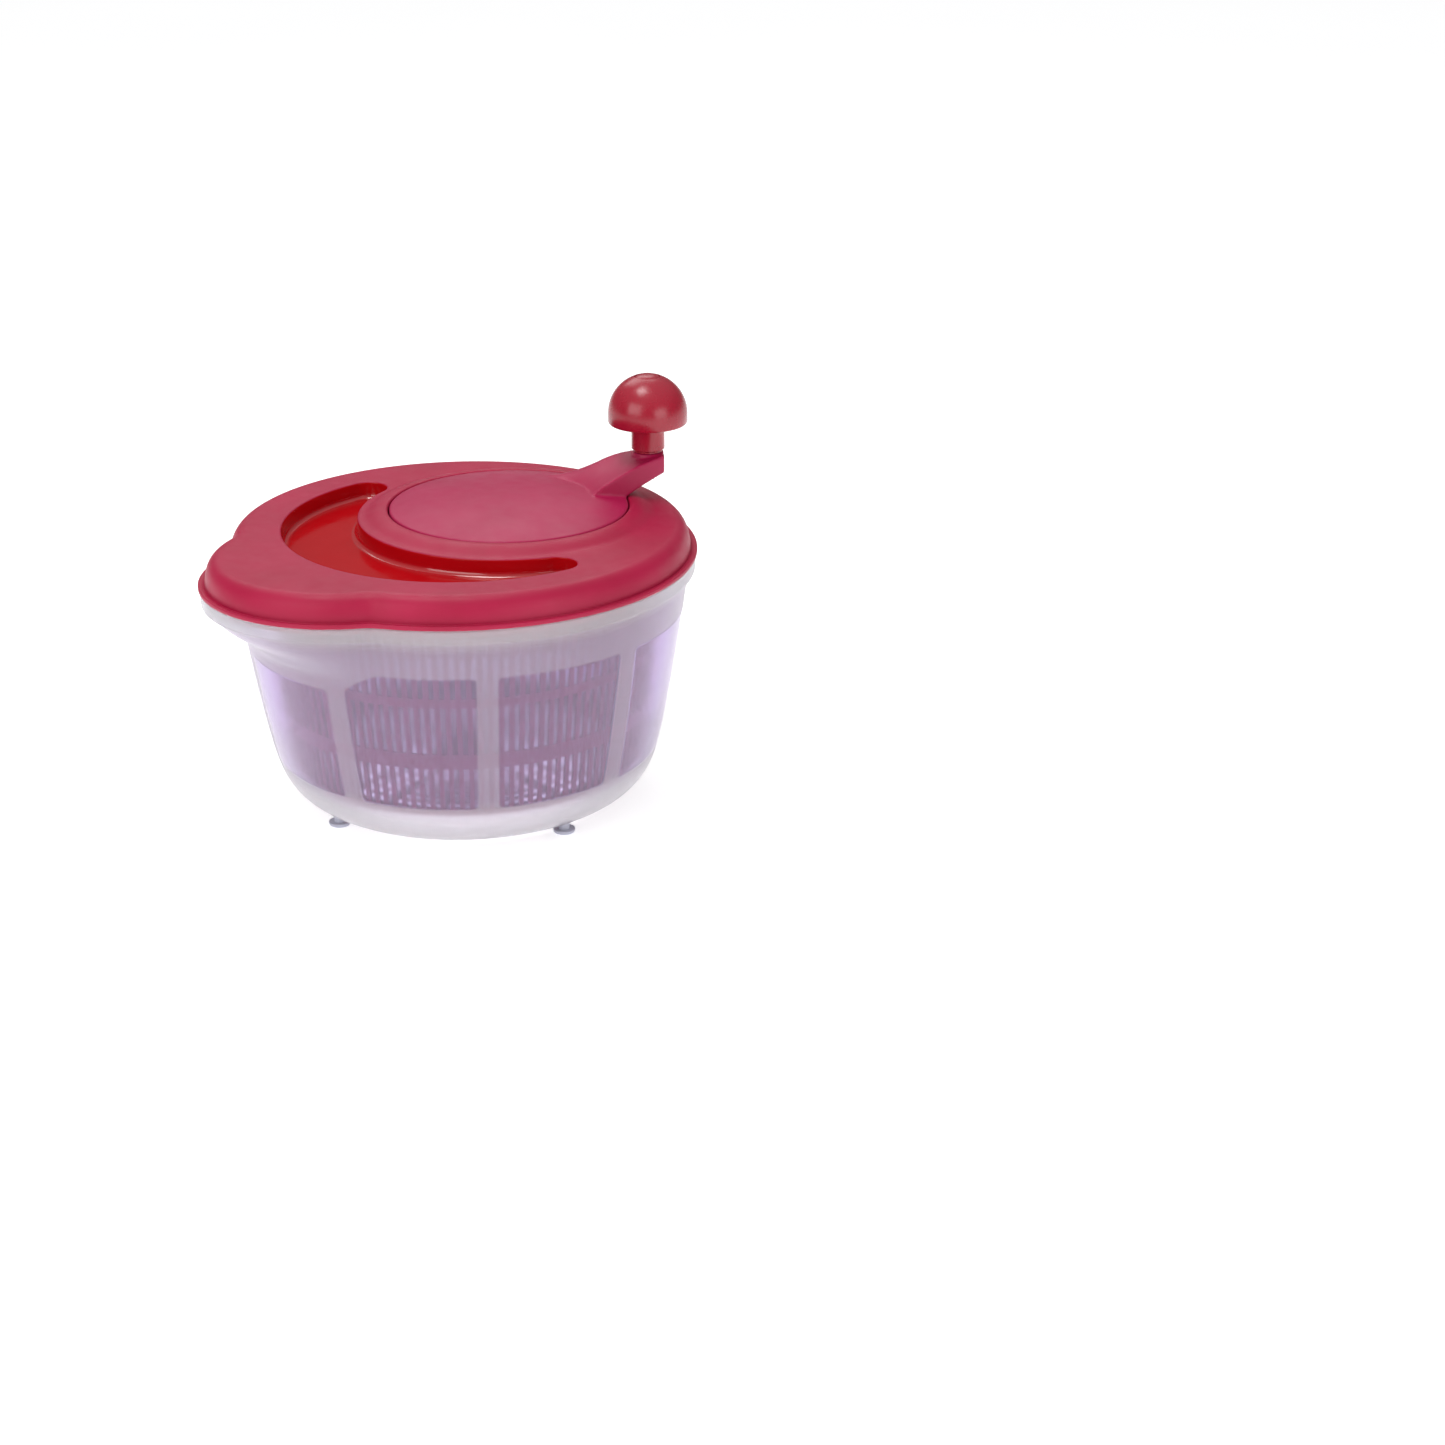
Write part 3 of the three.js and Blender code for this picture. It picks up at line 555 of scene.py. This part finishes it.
foot_ring = [(0, 2.6), (60, 2.6), (61, 2.6), (63, 2.0), (66, 2.0), (68, 2.5), (71, 2.5), (73, 2.0)]
rim_out = [(125, rim_low - 0.6), (125.4, rim_low), (129, rim_low), (129, BOWL_TOP)]
rim_out += [(122.6, BOWL_TOP), (122.6, rim_low)]
rim_out = rounded(rim_out, {1: 0.3, 2: 0.8, 3: 1.1, 4: 1.4}, 5)
inner = inset(wall, 2.2)[:-2]
pivot_boss = [(9, 4.2), (7.6, 5.2), (7, 7), (7, 14.4), (6.4, 15), (2.8, 15), (2.8, 5.7), (0, 5.7)]
bowl_line = foot_ring + wall + rim_out[1:] + inner[::-1] + pivot_boss
build = Builder()
loops = []
for r, z in bowl_line:
    share = float(smoothstep(rim_low - 30, rim_low, z)) if r > 20 else 0.0
    loops.append(build.loop(lobed_loop(max(r, 1e-4), z, share)))
build.stack(loops)
bowl = build.object("bowl_shell", [bowl_plastic], sharp=50)
dress(bowl, "bowl", ["bowl"])

# %% [markdown]
# Each rubber foot is a turned plug: a sole with a shallow groove, and a stem pressed up into the
# bowl's base. The steel pin on which the basket turns stands in the boss in the middle.

# %% Feet and pivot pin
foot_line = [(0, 0), (4.6, 0), (5.6, 0.35), (6, 1.1), (6, 1.5), (5.7, 1.7), (5.7, 1.95), (6, 2.3), (3, 2.3)]
foot_line += [(3, 5.4), (2.4, 6), (0, 6)]
for i in range(4):
    angle = math.pi / 2 * i
    centre = (88 * math.sin(angle), -88 * math.cos(angle))
    foot = lathe(f"rubber_foot_{i + 1}", rounded(foot_line, {1: 0.6}), [rubber], centre, 48)
    dress(foot, "bowl", [f"foot_{i + 1}"])
pin = lathe(
    "pivot_pin_turned",
    rounded([(0, 6), (2.5, 6), (2.5, 19.8), (2.3, 20.9), (1.5, 21.9), (0, 22.2)], {3: 0.5, 4: 0.5}),
    [steel],
    count=48,
)
dress(pin, "bowl", ["pivot_pin"])

# %% [markdown]
# ## Basket
# A basket could be a cup with hundreds of slots cut out of it, but cutting is slow and leaves
# poor faces. Here it is built the other way round, from what is left between the slots. The solid
# bands are turned, and so are the thin rings of the slotted floor.

# %% Basket bands
WALL = 1.8
HEEL_TOP, FLARE = 35.0, BASKET_TOP - 8


def basket_r(z):
    return 101 + (112.5 - 101) * (z - HEEL_TOP) / (FLARE - HEEL_TOP)


heel = curve([(86, 20), (101, 20), (101, HEEL_TOP)], 24)
heel_in = curve([(86, 20 + WALL), (101 - WALL, 20 + WALL), (101 - WALL, HEEL_TOP)], 24)


def wall_pair(low, high, steps=8):
    """Outer and inner line of the basket's wall between two heights."""
    heights = np.linspace(low, high, steps + 1)
    out, ins = [], []
    for z in heights:
        if z < HEEL_TOP:
            out.append((float(np.interp(z, [p[1] for p in heel], [p[0] for p in heel])), z))
            ins.append((float(np.interp(z, [p[1] for p in heel_in], [p[0] for p in heel_in])), z))
        else:
            out.append((basket_r(z), z))
            ins.append((basket_r(z) - WALL, z))
    return out, ins


def band(name, low, high):
    out, ins = wall_pair(low, high, 4)
    return lathe(name, [*out, *ins[::-1]], [basket_plastic], count=360, sharp=40, closed=True)


parts = [band("band_low", 52.4, 61.2), band("band_high", 88.8, 94.2)]
top_line = [(basket_r(129.2), 129.2), (112.5, FLARE), (115.1, 134.2), (115.5, 134.8), (115.5, BASKET_TOP)]
top_line += [(113.7, BASKET_TOP), (113.7, 135.2), (112.5 - WALL, FLARE), (basket_r(129.2) - WALL, 129.2)]
top_line = rounded(top_line, {1: 0.8, 2: 0.6, 3: 0.3, 4: 0.6, 5: 0.5, 6: 0.6, 7: 0.8})
parts.append(lathe("band_rim", top_line, [basket_plastic], count=360, sharp=40, closed=True))
floor_in = 20.9
heel_low = [p for p in heel if p[1] < 28.4]
heel_low_in = [p for p in heel_in if p[1] < 28.4]
SLOT_FIRST, SLOT_STEP, SLOT_COUNT, SLOT_WIDTH = 23.6, 7.8, 8, 4.4
slot_radii = [SLOT_FIRST + SLOT_STEP * i for i in range(SLOT_COUNT)]
edge = slot_radii[-1] + SLOT_WIDTH / 2
line = [(edge, 20), *heel_low, *heel_low_in[::-1], (edge, floor_in)]
parts.append(lathe("band_heel", line, [basket_plastic], count=360, sharp=40, closed=True))
for near, far in zip(slot_radii, slot_radii[1:]):
    low, high = near + SLOT_WIDTH / 2, far - SLOT_WIDTH / 2
    ring = [(low, 20), (high, 20), (high, floor_in), (low, floor_in)]
    parts.append(lathe("floor_ring", ring, [basket_plastic], count=180, sharp=40, closed=True))
edge = slot_radii[0] - SLOT_WIDTH / 2
hub = [(6.3, 20), (edge, 20), (edge, floor_in), (16, floor_in), (14, 22.4), (11, 27.2), (9, 28.0)]
hub += [(4, 28.2), (0, 28.2), (0, 25), (6.3, 25)]
hub = rounded(hub, {1: 0.4, 2: 0.4, 4: 1.0, 5: 1.5})
parts.append(lathe("floor_hub", hub, [basket_plastic], count=192, sharp=40, closed=True))
print("basket bands:", len(parts))

# %% [markdown]
# Between the bands stand 120 bars in each of three tiers, and each tier is copied from one bar
# that follows the wall's slope or the curve of its heel. Sixteen spokes carry the floor's rings.
# Near the rim, inside, run 120 fine ridges, and the 16 taller ribs that the plate's fins push.

# %% Basket bars, floor spokes, ridges and ribs
BARS, BAR_SLOT = 120, 2.8
for name, low, high in (("bars_low", 28.0, 52.8), ("bars_middle", 60.8, 89.2), ("bars_high", 93.8, 129.8)):
    out, ins = wall_pair(low, high, 6)
    mid = basket_r((low + high) / 2)
    line = [(r - 0.25, z) for r, z in out] + [(r + 0.25, z) for r, z in ins[::-1]]
    bar = prism_strip(name, line, 2 * math.pi * mid / BARS - BAR_SLOT, [basket_plastic])
    parts.append(repeat(bar, BARS, basket_plastic, math.pi / BARS))
spoke = [(20.5, 20.1), (82, 20.1), (82, floor_in - 0.1), (20.5, floor_in - 0.1)]
parts.append(repeat(prism_strip("spokes", spoke, 3.0, [basket_plastic]), 16, basket_plastic))
ridge_low, ridge_high = basket_r(118) - WALL, basket_r(129) - WALL
ridge = [(ridge_low + 0.3, 117), (ridge_high + 0.3, 129.6), (ridge_high - 0.5, 129.2)]
ridge += [(ridge_low - 0.5, 118)]
parts.append(repeat(prism_strip("ridges", ridge, 1.4, [basket_plastic]), BARS, basket_plastic))
rib = [(106.9, 114.8), (basket_r(114.8) - 0.9, 114.8), (111.6, FLARE), (111.6, 134.8)]
rib += [(107.4, 134.8), (106.9, 134.2)]
ribs = prism_strip("drive_ribs", rib, 1.4, [basket_plastic])
parts.append(repeat(ribs, 16, basket_plastic, math.pi / 16))
basket = join("basket_detail", parts)
shade(basket, 40)
dress(basket, "basket", ["basket"])
cup = rounded([(2.8, 16.3), (6, 16.3), (6, 24.7), (0, 24.7), (0, 22.5), (2.8, 22.5)], {1: 0.4, 2: 0.4})
dress(lathe("pivot_cup", cup, [acetal], count=48, closed=True), "basket", ["basket_cup"])

# %% [markdown]
# ## Lid
# The lid is one moulding with a flat top. Two hollows are sunk into that flat: a crescent tray in
# front, and a round well that the crank turns in, with a raised collar round it. The tray's
# outline is four arcs, and moving all four out by one distance gives a parallel outline, so its
# wall and both of its rounded edges are a stack of such outlines.

# %% The tray's outline
TRAY_Y, TRAY_OUT, TRAY_IN, TRAY_END = 2.0, 99.5, 84.0, 11.0


def tray_loop(grow, z):
    outer, inner_r, end = TRAY_OUT + grow, TRAY_IN - grow, TRAY_END + grow
    far, near, apart = TRAY_IN + TRAY_END, TRAY_OUT - TRAY_END, CRANK_Y - TRAY_Y
    down = (far**2 - near**2 - apart**2) / (2 * apart)
    y, x = TRAY_Y - down, math.sqrt(near**2 - down**2)
    a = math.atan2(y - TRAY_Y, x)
    b = math.atan2(y - CRANK_Y, x)
    pieces = (
        ((0, TRAY_Y), outer, math.pi - a, a + 2 * math.pi, 220),
        ((x, y), end, a, b + math.pi, 40),
        ((0, CRANK_Y), inner_r, b, -math.pi - b, 200),
        ((-x, y), end, -b, math.pi - a, 40),
    )
    out = []
    for (cx, cy), r, start, stop, steps in pieces:
        for t in np.linspace(start, stop, steps + 1)[:-1]:
            out.append((cx + r * math.cos(t), cy + r * math.sin(t), z))
    return out


print("tray outline points:", len(tray_loop(0, 0)))

# %% [markdown]
# The shell is drawn as outlines that go once round its section. The outside climbs from the skirt,
# which drops inside the bowl's rim, over the flange and the dome to the flat top. The tray and the
# well are two more stacks, and flat areas with holes in them join the three. The tray's stack
# carries its own finish, and so does the curve at its bottom.

# %% Lid shell
build = Builder()
skirt = [(114.0, 153.4), (115.4, 153.3), (117.4, 152.4), (120.4, 148.4), (122.0, 143.6), (122.6, 140.9)]
skirt += [(122.3, 139.9), (120.3, 139.4), (120.1, 138.6), (120.1, 135.1), (120.6, 134.5), (121.6, 134.5)]
skirt += [(122.1, 135.1), (122.1, 138.9), (122.5, 139.5), (123.2, 139.5), (128.9, 139.5)]
outside = skirt + curve([(128.9, 139.5), (130, 139.5), (130, 140.3)], 4)[1:]
outside += [(130, 141.2)] + curve([(130, 141.3), (130, 142.0), (129.2, 142.0)], 4)[1:]
outside += [(127.3, 142.0), (126.9, 141.75), (126.6, 141.75), (126.4, 142.1)]
outside += curve([(126.4, 142.4), (125.6, 151.6), (122.6, 155.6), (117, 155.6)], 22)
outside += [(116.4, PLATEAU)]
rings = [build.loop(lobed_loop(r, z)) for r, z in outside]
build.stack(rings)
shoulder_ring, ceiling_ring = rings[-1], rings[0]

tray_rows = [(1.5, PLATEAU), (1.2, PLATEAU)]
for t in np.linspace(0, math.pi / 2, 6)[1:]:
    tray_rows.append((1.2 - 1.2 * math.sin(t), PLATEAU - 1.2 * (1 - math.cos(t))))
tray_rows.append((-0.15, 148.8))
for t in np.linspace(0, math.pi / 2, 10)[1:]:
    tray_rows.append((-0.15 - 3.0 * (1 - math.cos(t)), 148.7 - 3.05 * math.sin(t)))
tray_rows.append((-3.6, 145.65))
tray_rings = [build.loop(tray_loop(grow, z)) for grow, z in tray_rows]
build.stack(tray_rings[:5])
build.stack(tray_rings[4:8], 1)
build.stack(tray_rings[7:], 2)
build.fill(tray_rings[-1], mark=1)

collar = [(82.3, PLATEAU)] + curve([(82.0, PLATEAU), (77.5, 155.7), (75.5, 159.3), (68.6, 159.6)], 16)
collar += [(67.8, 159.45), (67.3, 159.0), (67.1, 158.4), (67.0, 157.8)]
collar += [(67.0, 149.1), (66.4, WELL_FLOOR), (65.9, WELL_FLOOR)]
centre = (0, CRANK_Y)
collar_rings = [build.loop(circle(r, z, centre)) for r, z in collar]
build.stack(collar_rings)
build.fill(shoulder_ring, [tray_rings[0], collar_rings[0]])

few = np.linspace(0, 2 * math.pi, 97)[:-1]
bearing = [(13.3, WELL_FLOOR), (13.0, WELL_FLOOR + 0.4), (13.0, 154.1), (12.6, 154.5)]
bearing += [(10.0, 154.5), (10.0, WELL_UNDER)]
bearing_rings = [build.loop(circle(r, z, centre, few)) for r, z in bearing]
build.stack(bearing_rings)
bush_rings = [build.loop(circle(8.0, z, (0, 0), few)) for z in (WELL_FLOOR, WELL_UNDER)]
build.stack(bush_rings)
build.fill(collar_rings[-1], [bearing_rings[0], bush_rings[0]])

under_tray = [(2.6, 153.4), (2.3, 152.9), (2.1, 144.4), (1.2, 143.4), (0.8, 143.4)]
under_tray = [build.loop(tray_loop(grow, z)) for grow, z in under_tray]
build.stack(under_tray)
build.fill(under_tray[-1])
under_well = [(69.7, 153.4), (69.3, 152.8), (69.1, 147.3), (68.4, WELL_UNDER), (68, WELL_UNDER)]
under_well = [build.loop(circle(r, z, centre)) for r, z in under_well]
build.stack(under_well)
build.fill(under_well[-1], [bearing_rings[-1], bush_rings[-1]])
build.fill(ceiling_ring, [under_tray[0], under_well[0]])
lid = build.object("lid_shell", [lid_matte, tray_gloss, tray_edge], sharp=40)
dress(lid, "lid", ["lid"])

# %% [markdown]
# ## Crank
# The crank is a low dome with an arm that rises out of it towards the knob. The dome is turned.
# The arm is a ring of the right section, cut to the arm's plan. The two are then merged and
# smoothed a little, which rounds the creases where they meet as a mould would.

# %% Dome and arm section


def dome_z(r):
    return DISC_EDGE + DISC_DOME * (1 - (r / DISC_RADIUS) ** 2)


def crank_lathe(name, profile, count=240):
    return lathe(name, profile, [disc_matte], count=count, sharp=40, closed=True)


under_dome = [(r, dome_z(r) - 2.2) for r in np.linspace(12, 64.2, 14)]
over_dome = [(r, dome_z(r)) for r in np.linspace(DISC_RADIUS, 0, 24)]
shell = [(0, 155.9), (2.3, 155.9), (2.3, 146.5), (7, 146.5), (7, 156.1), (12, 156.1), *under_dome]
shell += [(64.2, 155.4), (DISC_RADIUS, 155.4), *over_dome]
shell_piece = crank_lathe("crank_shell", shell)

tip = KNOB_REACH + 8.8
under_tip = ARM_TOP - ARM_TIP
section = [(r, dome_z(r) - 1.1) for r in np.linspace(46, DISC_RADIUS, 6)]
section += curve([(DISC_RADIUS, 159.9), (DISC_RADIUS + 11, under_tip - 4.8), (tip + 2, under_tip)], 14)
section += curve([(tip + 2, ARM_TOP), (66, ARM_TOP - 2), (46, dome_z(46) - 0.3)], 24)
ring_piece = crank_lathe("arm_ring", section, 360)
print("arm section points:", len(section))

# %% [markdown]
# The plan is the arm seen from above, with the arm lying along +X: straight on one side, and
# flared on the other, where it runs out into the dome. An upright block of that outline cuts the
# ring. Along the flare the arm's height then dies away to nothing.

# %% Arm cut to its plan
plan = [(34, -13)] + curve([(46, -15), (68, -18), (tip - 4, -11.6)], 16)
plan += curve([(tip - 4, -11.6), (tip + 1, -2), (tip - 4, 8)], 12)[1:]
plan += curve([(tip - 4, 8), (tip - 20, 12), (tip - 33, 27)], 16)[1:]
plan += curve([(tip - 33, 27), (tip - 42, 36), (41, 42)], 12)[1:] + [(30, 36)]
build = Builder()
low_ring, high_ring = (build.loop([(x, y, z) for x, y in plan]) for z in (140.0, 200.0))
build.bridge(low_ring, high_ring)
build.fill(low_ring)
build.fill(high_ring)
plan_piece = build.object("arm_plan", [disc_matte], smooth=False)
cut = ring_piece.modifiers.new("plan", "BOOLEAN")
cut.operation, cut.solver, cut.object = "INTERSECT", "EXACT", plan_piece
keep(ring_piece)
bpy.data.objects.remove(plan_piece)
places = places_of(ring_piece) / MM
rho = np.hypot(places[:, 0], places[:, 1])
base = np.where(rho < DISC_RADIUS, dome_z(rho) - 0.8, 160.0)
fall = 1 - 0.98 * smoothstep(12, 43, places[:, 1])
places[:, 2] = base + (places[:, 2] - base) * fall
ring_piece.data.vertices.foreach_set("co", places.ravel() * MM)
print("arm faces:", len(ring_piece.data.polygons))

# %% [markdown]
# A voxel remesh turns the dome, the arm and a round boss under the knob into one skin. A few
# rounds of smoothing take off the steps that the voxels leave. The crank is then turned to the
# angle it rests at, and moved onto its own axis behind the spin axis.

# %% Crank in one skin
boss_line = [(0, 171.8), (8.8, 171.8), (8.8, ARM_TOP), (0, ARM_TOP)]
boss = lathe("arm_boss", boss_line, [disc_matte], (KNOB_REACH, 0), 96)
crank = join("crank_arm", [shell_piece, ring_piece, boss])
merge = crank.modifiers.new("merge", "REMESH")
merge.mode, merge.voxel_size = "VOXEL", 0.0007
merge.use_smooth_shade = True
relax = crank.modifiers.new("relax", "SMOOTH")
relax.factor, relax.iterations = 0.5, 6
keep(crank)
turn_arm = math.radians(ARM_ANGLE)
places = places_of(crank)
x, y = places[:, 0].copy(), places[:, 1].copy()
places[:, 0] = x * math.cos(turn_arm) - y * math.sin(turn_arm)
places[:, 1] = x * math.sin(turn_arm) + y * math.cos(turn_arm) + CRANK_Y * MM
crank.data.vertices.foreach_set("co", places.ravel())
crank.data.materials.clear()
crank.data.materials.append(disc_matte)
crank.data.shade_smooth()
dress(crank, "crank", ["crank"])

# %% [markdown]
# ## Knob
# A hollow neck carries a ball with a straight band under it, and a small flat cap closes the
# hole over the pin's head.

# %% Knob and cap
knob_at = (KNOB_X, KNOB_Y)
BALL, BALL_Z, CAP_HOLE = 22.4, 202.0, 7.3
knob_low, knob_top = box_mm("knob")[0][2], box_mm("knob_cap")[1][2]
turn = np.linspace(math.pi / 2, math.asin(CAP_HOLE / BALL), 40)
dome = [(BALL * math.sin(t), BALL_Z + BALL * math.cos(t)) for t in turn]
knob_line = [(3.4, knob_low), (8.8, knob_low), (9.4, 181.9), (9.4, 194.4), (9.9, 195.6)]
knob_line += [(11.2, 196.1), (20.6, 196.1), (21.8, 196.5), (BALL, 197.6), *dome]
knob_line += [(7.15, dome[-1][1] - 0.35), (7.15, 216.2), (3.4, 216.2)]
knob_line = rounded(knob_line, {1: 0.25, 4: 0.5, 6: 0.6, 7: 0.5})
knob = lathe("knob_ball", knob_line, [knob_satin], knob_at, 192, 45, closed=True)
dress(knob, "knob", ["knob"])
cap_low = BALL_Z + math.sqrt(BALL**2 - CAP_HOLE**2) - 3.4
cap = [(0, cap_low), (6.8, cap_low), (6.95, cap_low + 0.3), (6.95, cap_low + 3.0), (6.6, cap_low + 3.3)]
cap += [(5.2, knob_top - 0.55), (3.0, knob_top - 0.15), (0, knob_top)]
cap = lathe("knob_cap_disc", cap, [knob_satin], knob_at, 96, 45)
dress(cap, "knob", ["knob_cap"])
print("knob stands", round(knob_top - knob_low, 1), "mm high")

# %% [markdown]
# ## Strainer plate
# The plate is a shallow dished disc, a thin ring and a border, joined by 40 inner and 80 outer
# bars. Eight triangular fins hang from the border, and their outer edges push the basket's ribs.

# %% Strainer plate
parts = []
disc_line = [(0, 139.5), (2.0, 139.5), (2.4, 139.0), (3.4, 139.0), (4.0, 139.4), (24, 139.2)]
disc_line += [(33, 138.5), (37, PLATE_LOW), (39, PLATE_LOW), (39.2, 138.6), (39.2, 140.4)]
disc_line += [(39, PLATE_HIGH), (8, PLATE_HIGH), (8, 143.8), (5.6, 143.8), (5.6, 139.9), (0, 139.9)]
disc_line = rounded(disc_line, {5: 2.0, 6: 2.0})
parts.append(lathe("plate_disc", disc_line, [plate_red], count=240, sharp=40))
for low, high in ((70.5, 73.5), (100.0, 114.0)):
    ring = [(low + 0.3, PLATE_LOW), (high - 0.3, PLATE_LOW), (high, PLATE_LOW + 0.4)]
    ring += [(high, PLATE_HIGH - 0.4), (high - 0.4, PLATE_HIGH), (low + 0.4, PLATE_HIGH)]
    ring += [(low, PLATE_HIGH - 0.4), (low, PLATE_LOW + 0.4)]
    parts.append(lathe("plate_ring", ring, [plate_red], count=360, sharp=50, closed=True))
for name, low, high, count in (("inner_bars", 38.6, 71, 40), ("outer_bars", 73, 101, 80)):
    bar_low, bar_high = PLATE_LOW + 0.15, PLATE_HIGH - 0.2
    line = [(low, bar_low), (high, bar_low), (high, bar_high), (low, bar_high)]
    parts.append(repeat(prism_strip(name, line, 2.3, [plate_red]), count, plate_red))
fin_out, fin_tip = 108.1, PLATE_LOW - 20
fin = [(fin_out - 24, PLATE_LOW + 1), (fin_out - 24, PLATE_LOW), (fin_out - 3, fin_tip)]
fin += [(fin_out - 1, fin_tip), (fin_out, fin_tip + 1), (fin_out, PLATE_LOW + 1)]
parts.append(repeat(prism_strip("fins", fin, 1.8, [plate_red]), 8, plate_red))
plate = join("plate_detail", parts)
shade(plate, 40)
dress(plate, "rotor", ["strainer_plate"])

# %% [markdown]
# ## Drive pieces, pins and washers
# Most of these sit inside the closed lid, and the knob's pin and washer sit at the arm's tip. The
# gears keep their own solids, whose teeth already mesh, and the turned pieces keep theirs too. All
# of them only need a finish.

# %% Finishes for the drive
drive_finishes = {
    knob_satin: ["knob_washer"],
    acetal: ["ring_gear", "pinion", "pinion_bush", "crank_bush"],
    steel: ["crank_washer", "crank_screw", "retaining_clip", "knob_pin"],
}
for material, nodes in drive_finishes.items():
    for node in nodes:
        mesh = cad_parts[node].data
        mesh.materials.clear()
        mesh.materials.append(material)
    print(material.name, "on", nodes)

# %% [markdown]
# ## Stage, light and camera
# The spinner stands on white paper that glows a little, as on a light table, and glows more under
# the bowl. Light from below is what makes a frosted base look bright, and what shows the slots in
# the basket's floor through the bowl's windows.

# %% Stage
paper_made = Finish("paper")
paper_made.set(
    Base_Color=paper_made.mix(paper_made.noise(3.0, 2.0), srgb(244, 244, 245), srgb(247, 247, 248)),
    Roughness=0.8,
    Normal=paper_made.bump(paper_made.noise(700.0), 0.00002),
    Emission_Color=(1.0, 1.0, 1.0, 1.0),
    Emission_Strength=paper_made.spread(paper_made.from_axis(), 0.055, 0.085, 1.6, 0.54),
)
PAPER_HALF = 9000
build = Builder()
build.fill(build.loop([(x * PAPER_HALF, y * PAPER_HALF, 0) for x, y in ((-1, -1), (1, -1), (1, 1), (-1, 1))]))
paper = build.object("paper", [paper_made.material], smooth=False)
print("paper:", 2 * PAPER_HALF * MM, "m wide")

# %% [markdown]
# The room is bright overhead and dim at the horizon, which keeps the sides of the lid deep in
# colour. Seen directly it is plain white, so a low view has the same background as a high one.
# One large soft light stands in front, a low one to the side, a weak one behind gives the matte
# tops their sheen, and a small one overhead draws the bright line along the tray.

# %% Light
world = bpy.data.worlds.new("room")
bpy.context.scene.world = world
world.use_nodes = True
room = world.node_tree
place = room.nodes.new("ShaderNodeTexCoord")
split = room.nodes.new("ShaderNodeSeparateXYZ")
rise = room.nodes.new("ShaderNodeMapRange")
room.links.new(place.outputs["Generated"], split.inputs[0])
room.links.new(split.outputs["Z"], rise.inputs[0])
for socket, number in zip(list(rise.inputs)[1:], (0.3, 0.9, 0.20, 0.66)):
    socket.default_value = number
seen = room.nodes.new("ShaderNodeLightPath").outputs["Is Camera Ray"]
brighter = room.nodes.new("ShaderNodeMath")
brighter.operation = "MAXIMUM"
room.links.new(rise.outputs[0], brighter.inputs[0])
room.links.new(seen, brighter.inputs[1])
room.links.new(brighter.outputs[0], room.nodes["Background"].inputs["Strength"])
room.nodes["Background"].inputs["Color"].default_value = (1.0, 1.0, 1.0, 1.0)


def lamp(name, place, target, size, power):
    light = bpy.data.lights.new(name, "AREA")
    light.shape, light.size, light.size_y, light.energy = "RECTANGLE", size[0], size[1], power
    made = bpy.data.objects.new(name, light)
    made.location = place
    made.rotation_euler = (Vector(target) - Vector(place)).to_track_quat("-Z", "Y").to_euler()
    bpy.context.scene.collection.objects.link(made)


lamp("key", (0.35, -1.7, 0.9), (0, 0, 0.08), (1.4, 1.0), 10.5)
lamp("fill", (1.9, 0.1, 0.55), (0, 0, 0.06), (1.2, 0.8), 7)
lamp("back", (-1.0, 0.55, 1.3), (0, 0, 0.15), (1.2, 0.9), 6.5)
lamp("top", (-0.05, -0.25, 1.6), (0, 0, 0.15), (0.5, 0.5), 7)
print("lights:", len(bpy.data.lights))

# %% [markdown]
# A long lens from well back keeps the two ends of the lid nearly the same size. The camera looks
# down at the table by about 22 degrees, from the spout's right. The view transform is Standard,
# so white paper stays white.

# %% Camera
lens = bpy.data.cameras.new("camera")
lens.lens, lens.sensor_width = 72.25, 36
camera = bpy.data.objects.new("camera", lens)
camera.location = (1.2494, -0.8779, 0.6475)
camera.rotation_euler = (math.radians(68.14), 0, math.radians(49.5))
bpy.context.scene.collection.objects.link(camera)
bpy.context.scene.camera = camera
bpy.context.scene.view_settings.view_transform = "Standard"
print("camera stands", round(camera.location.length, 2), "m away")
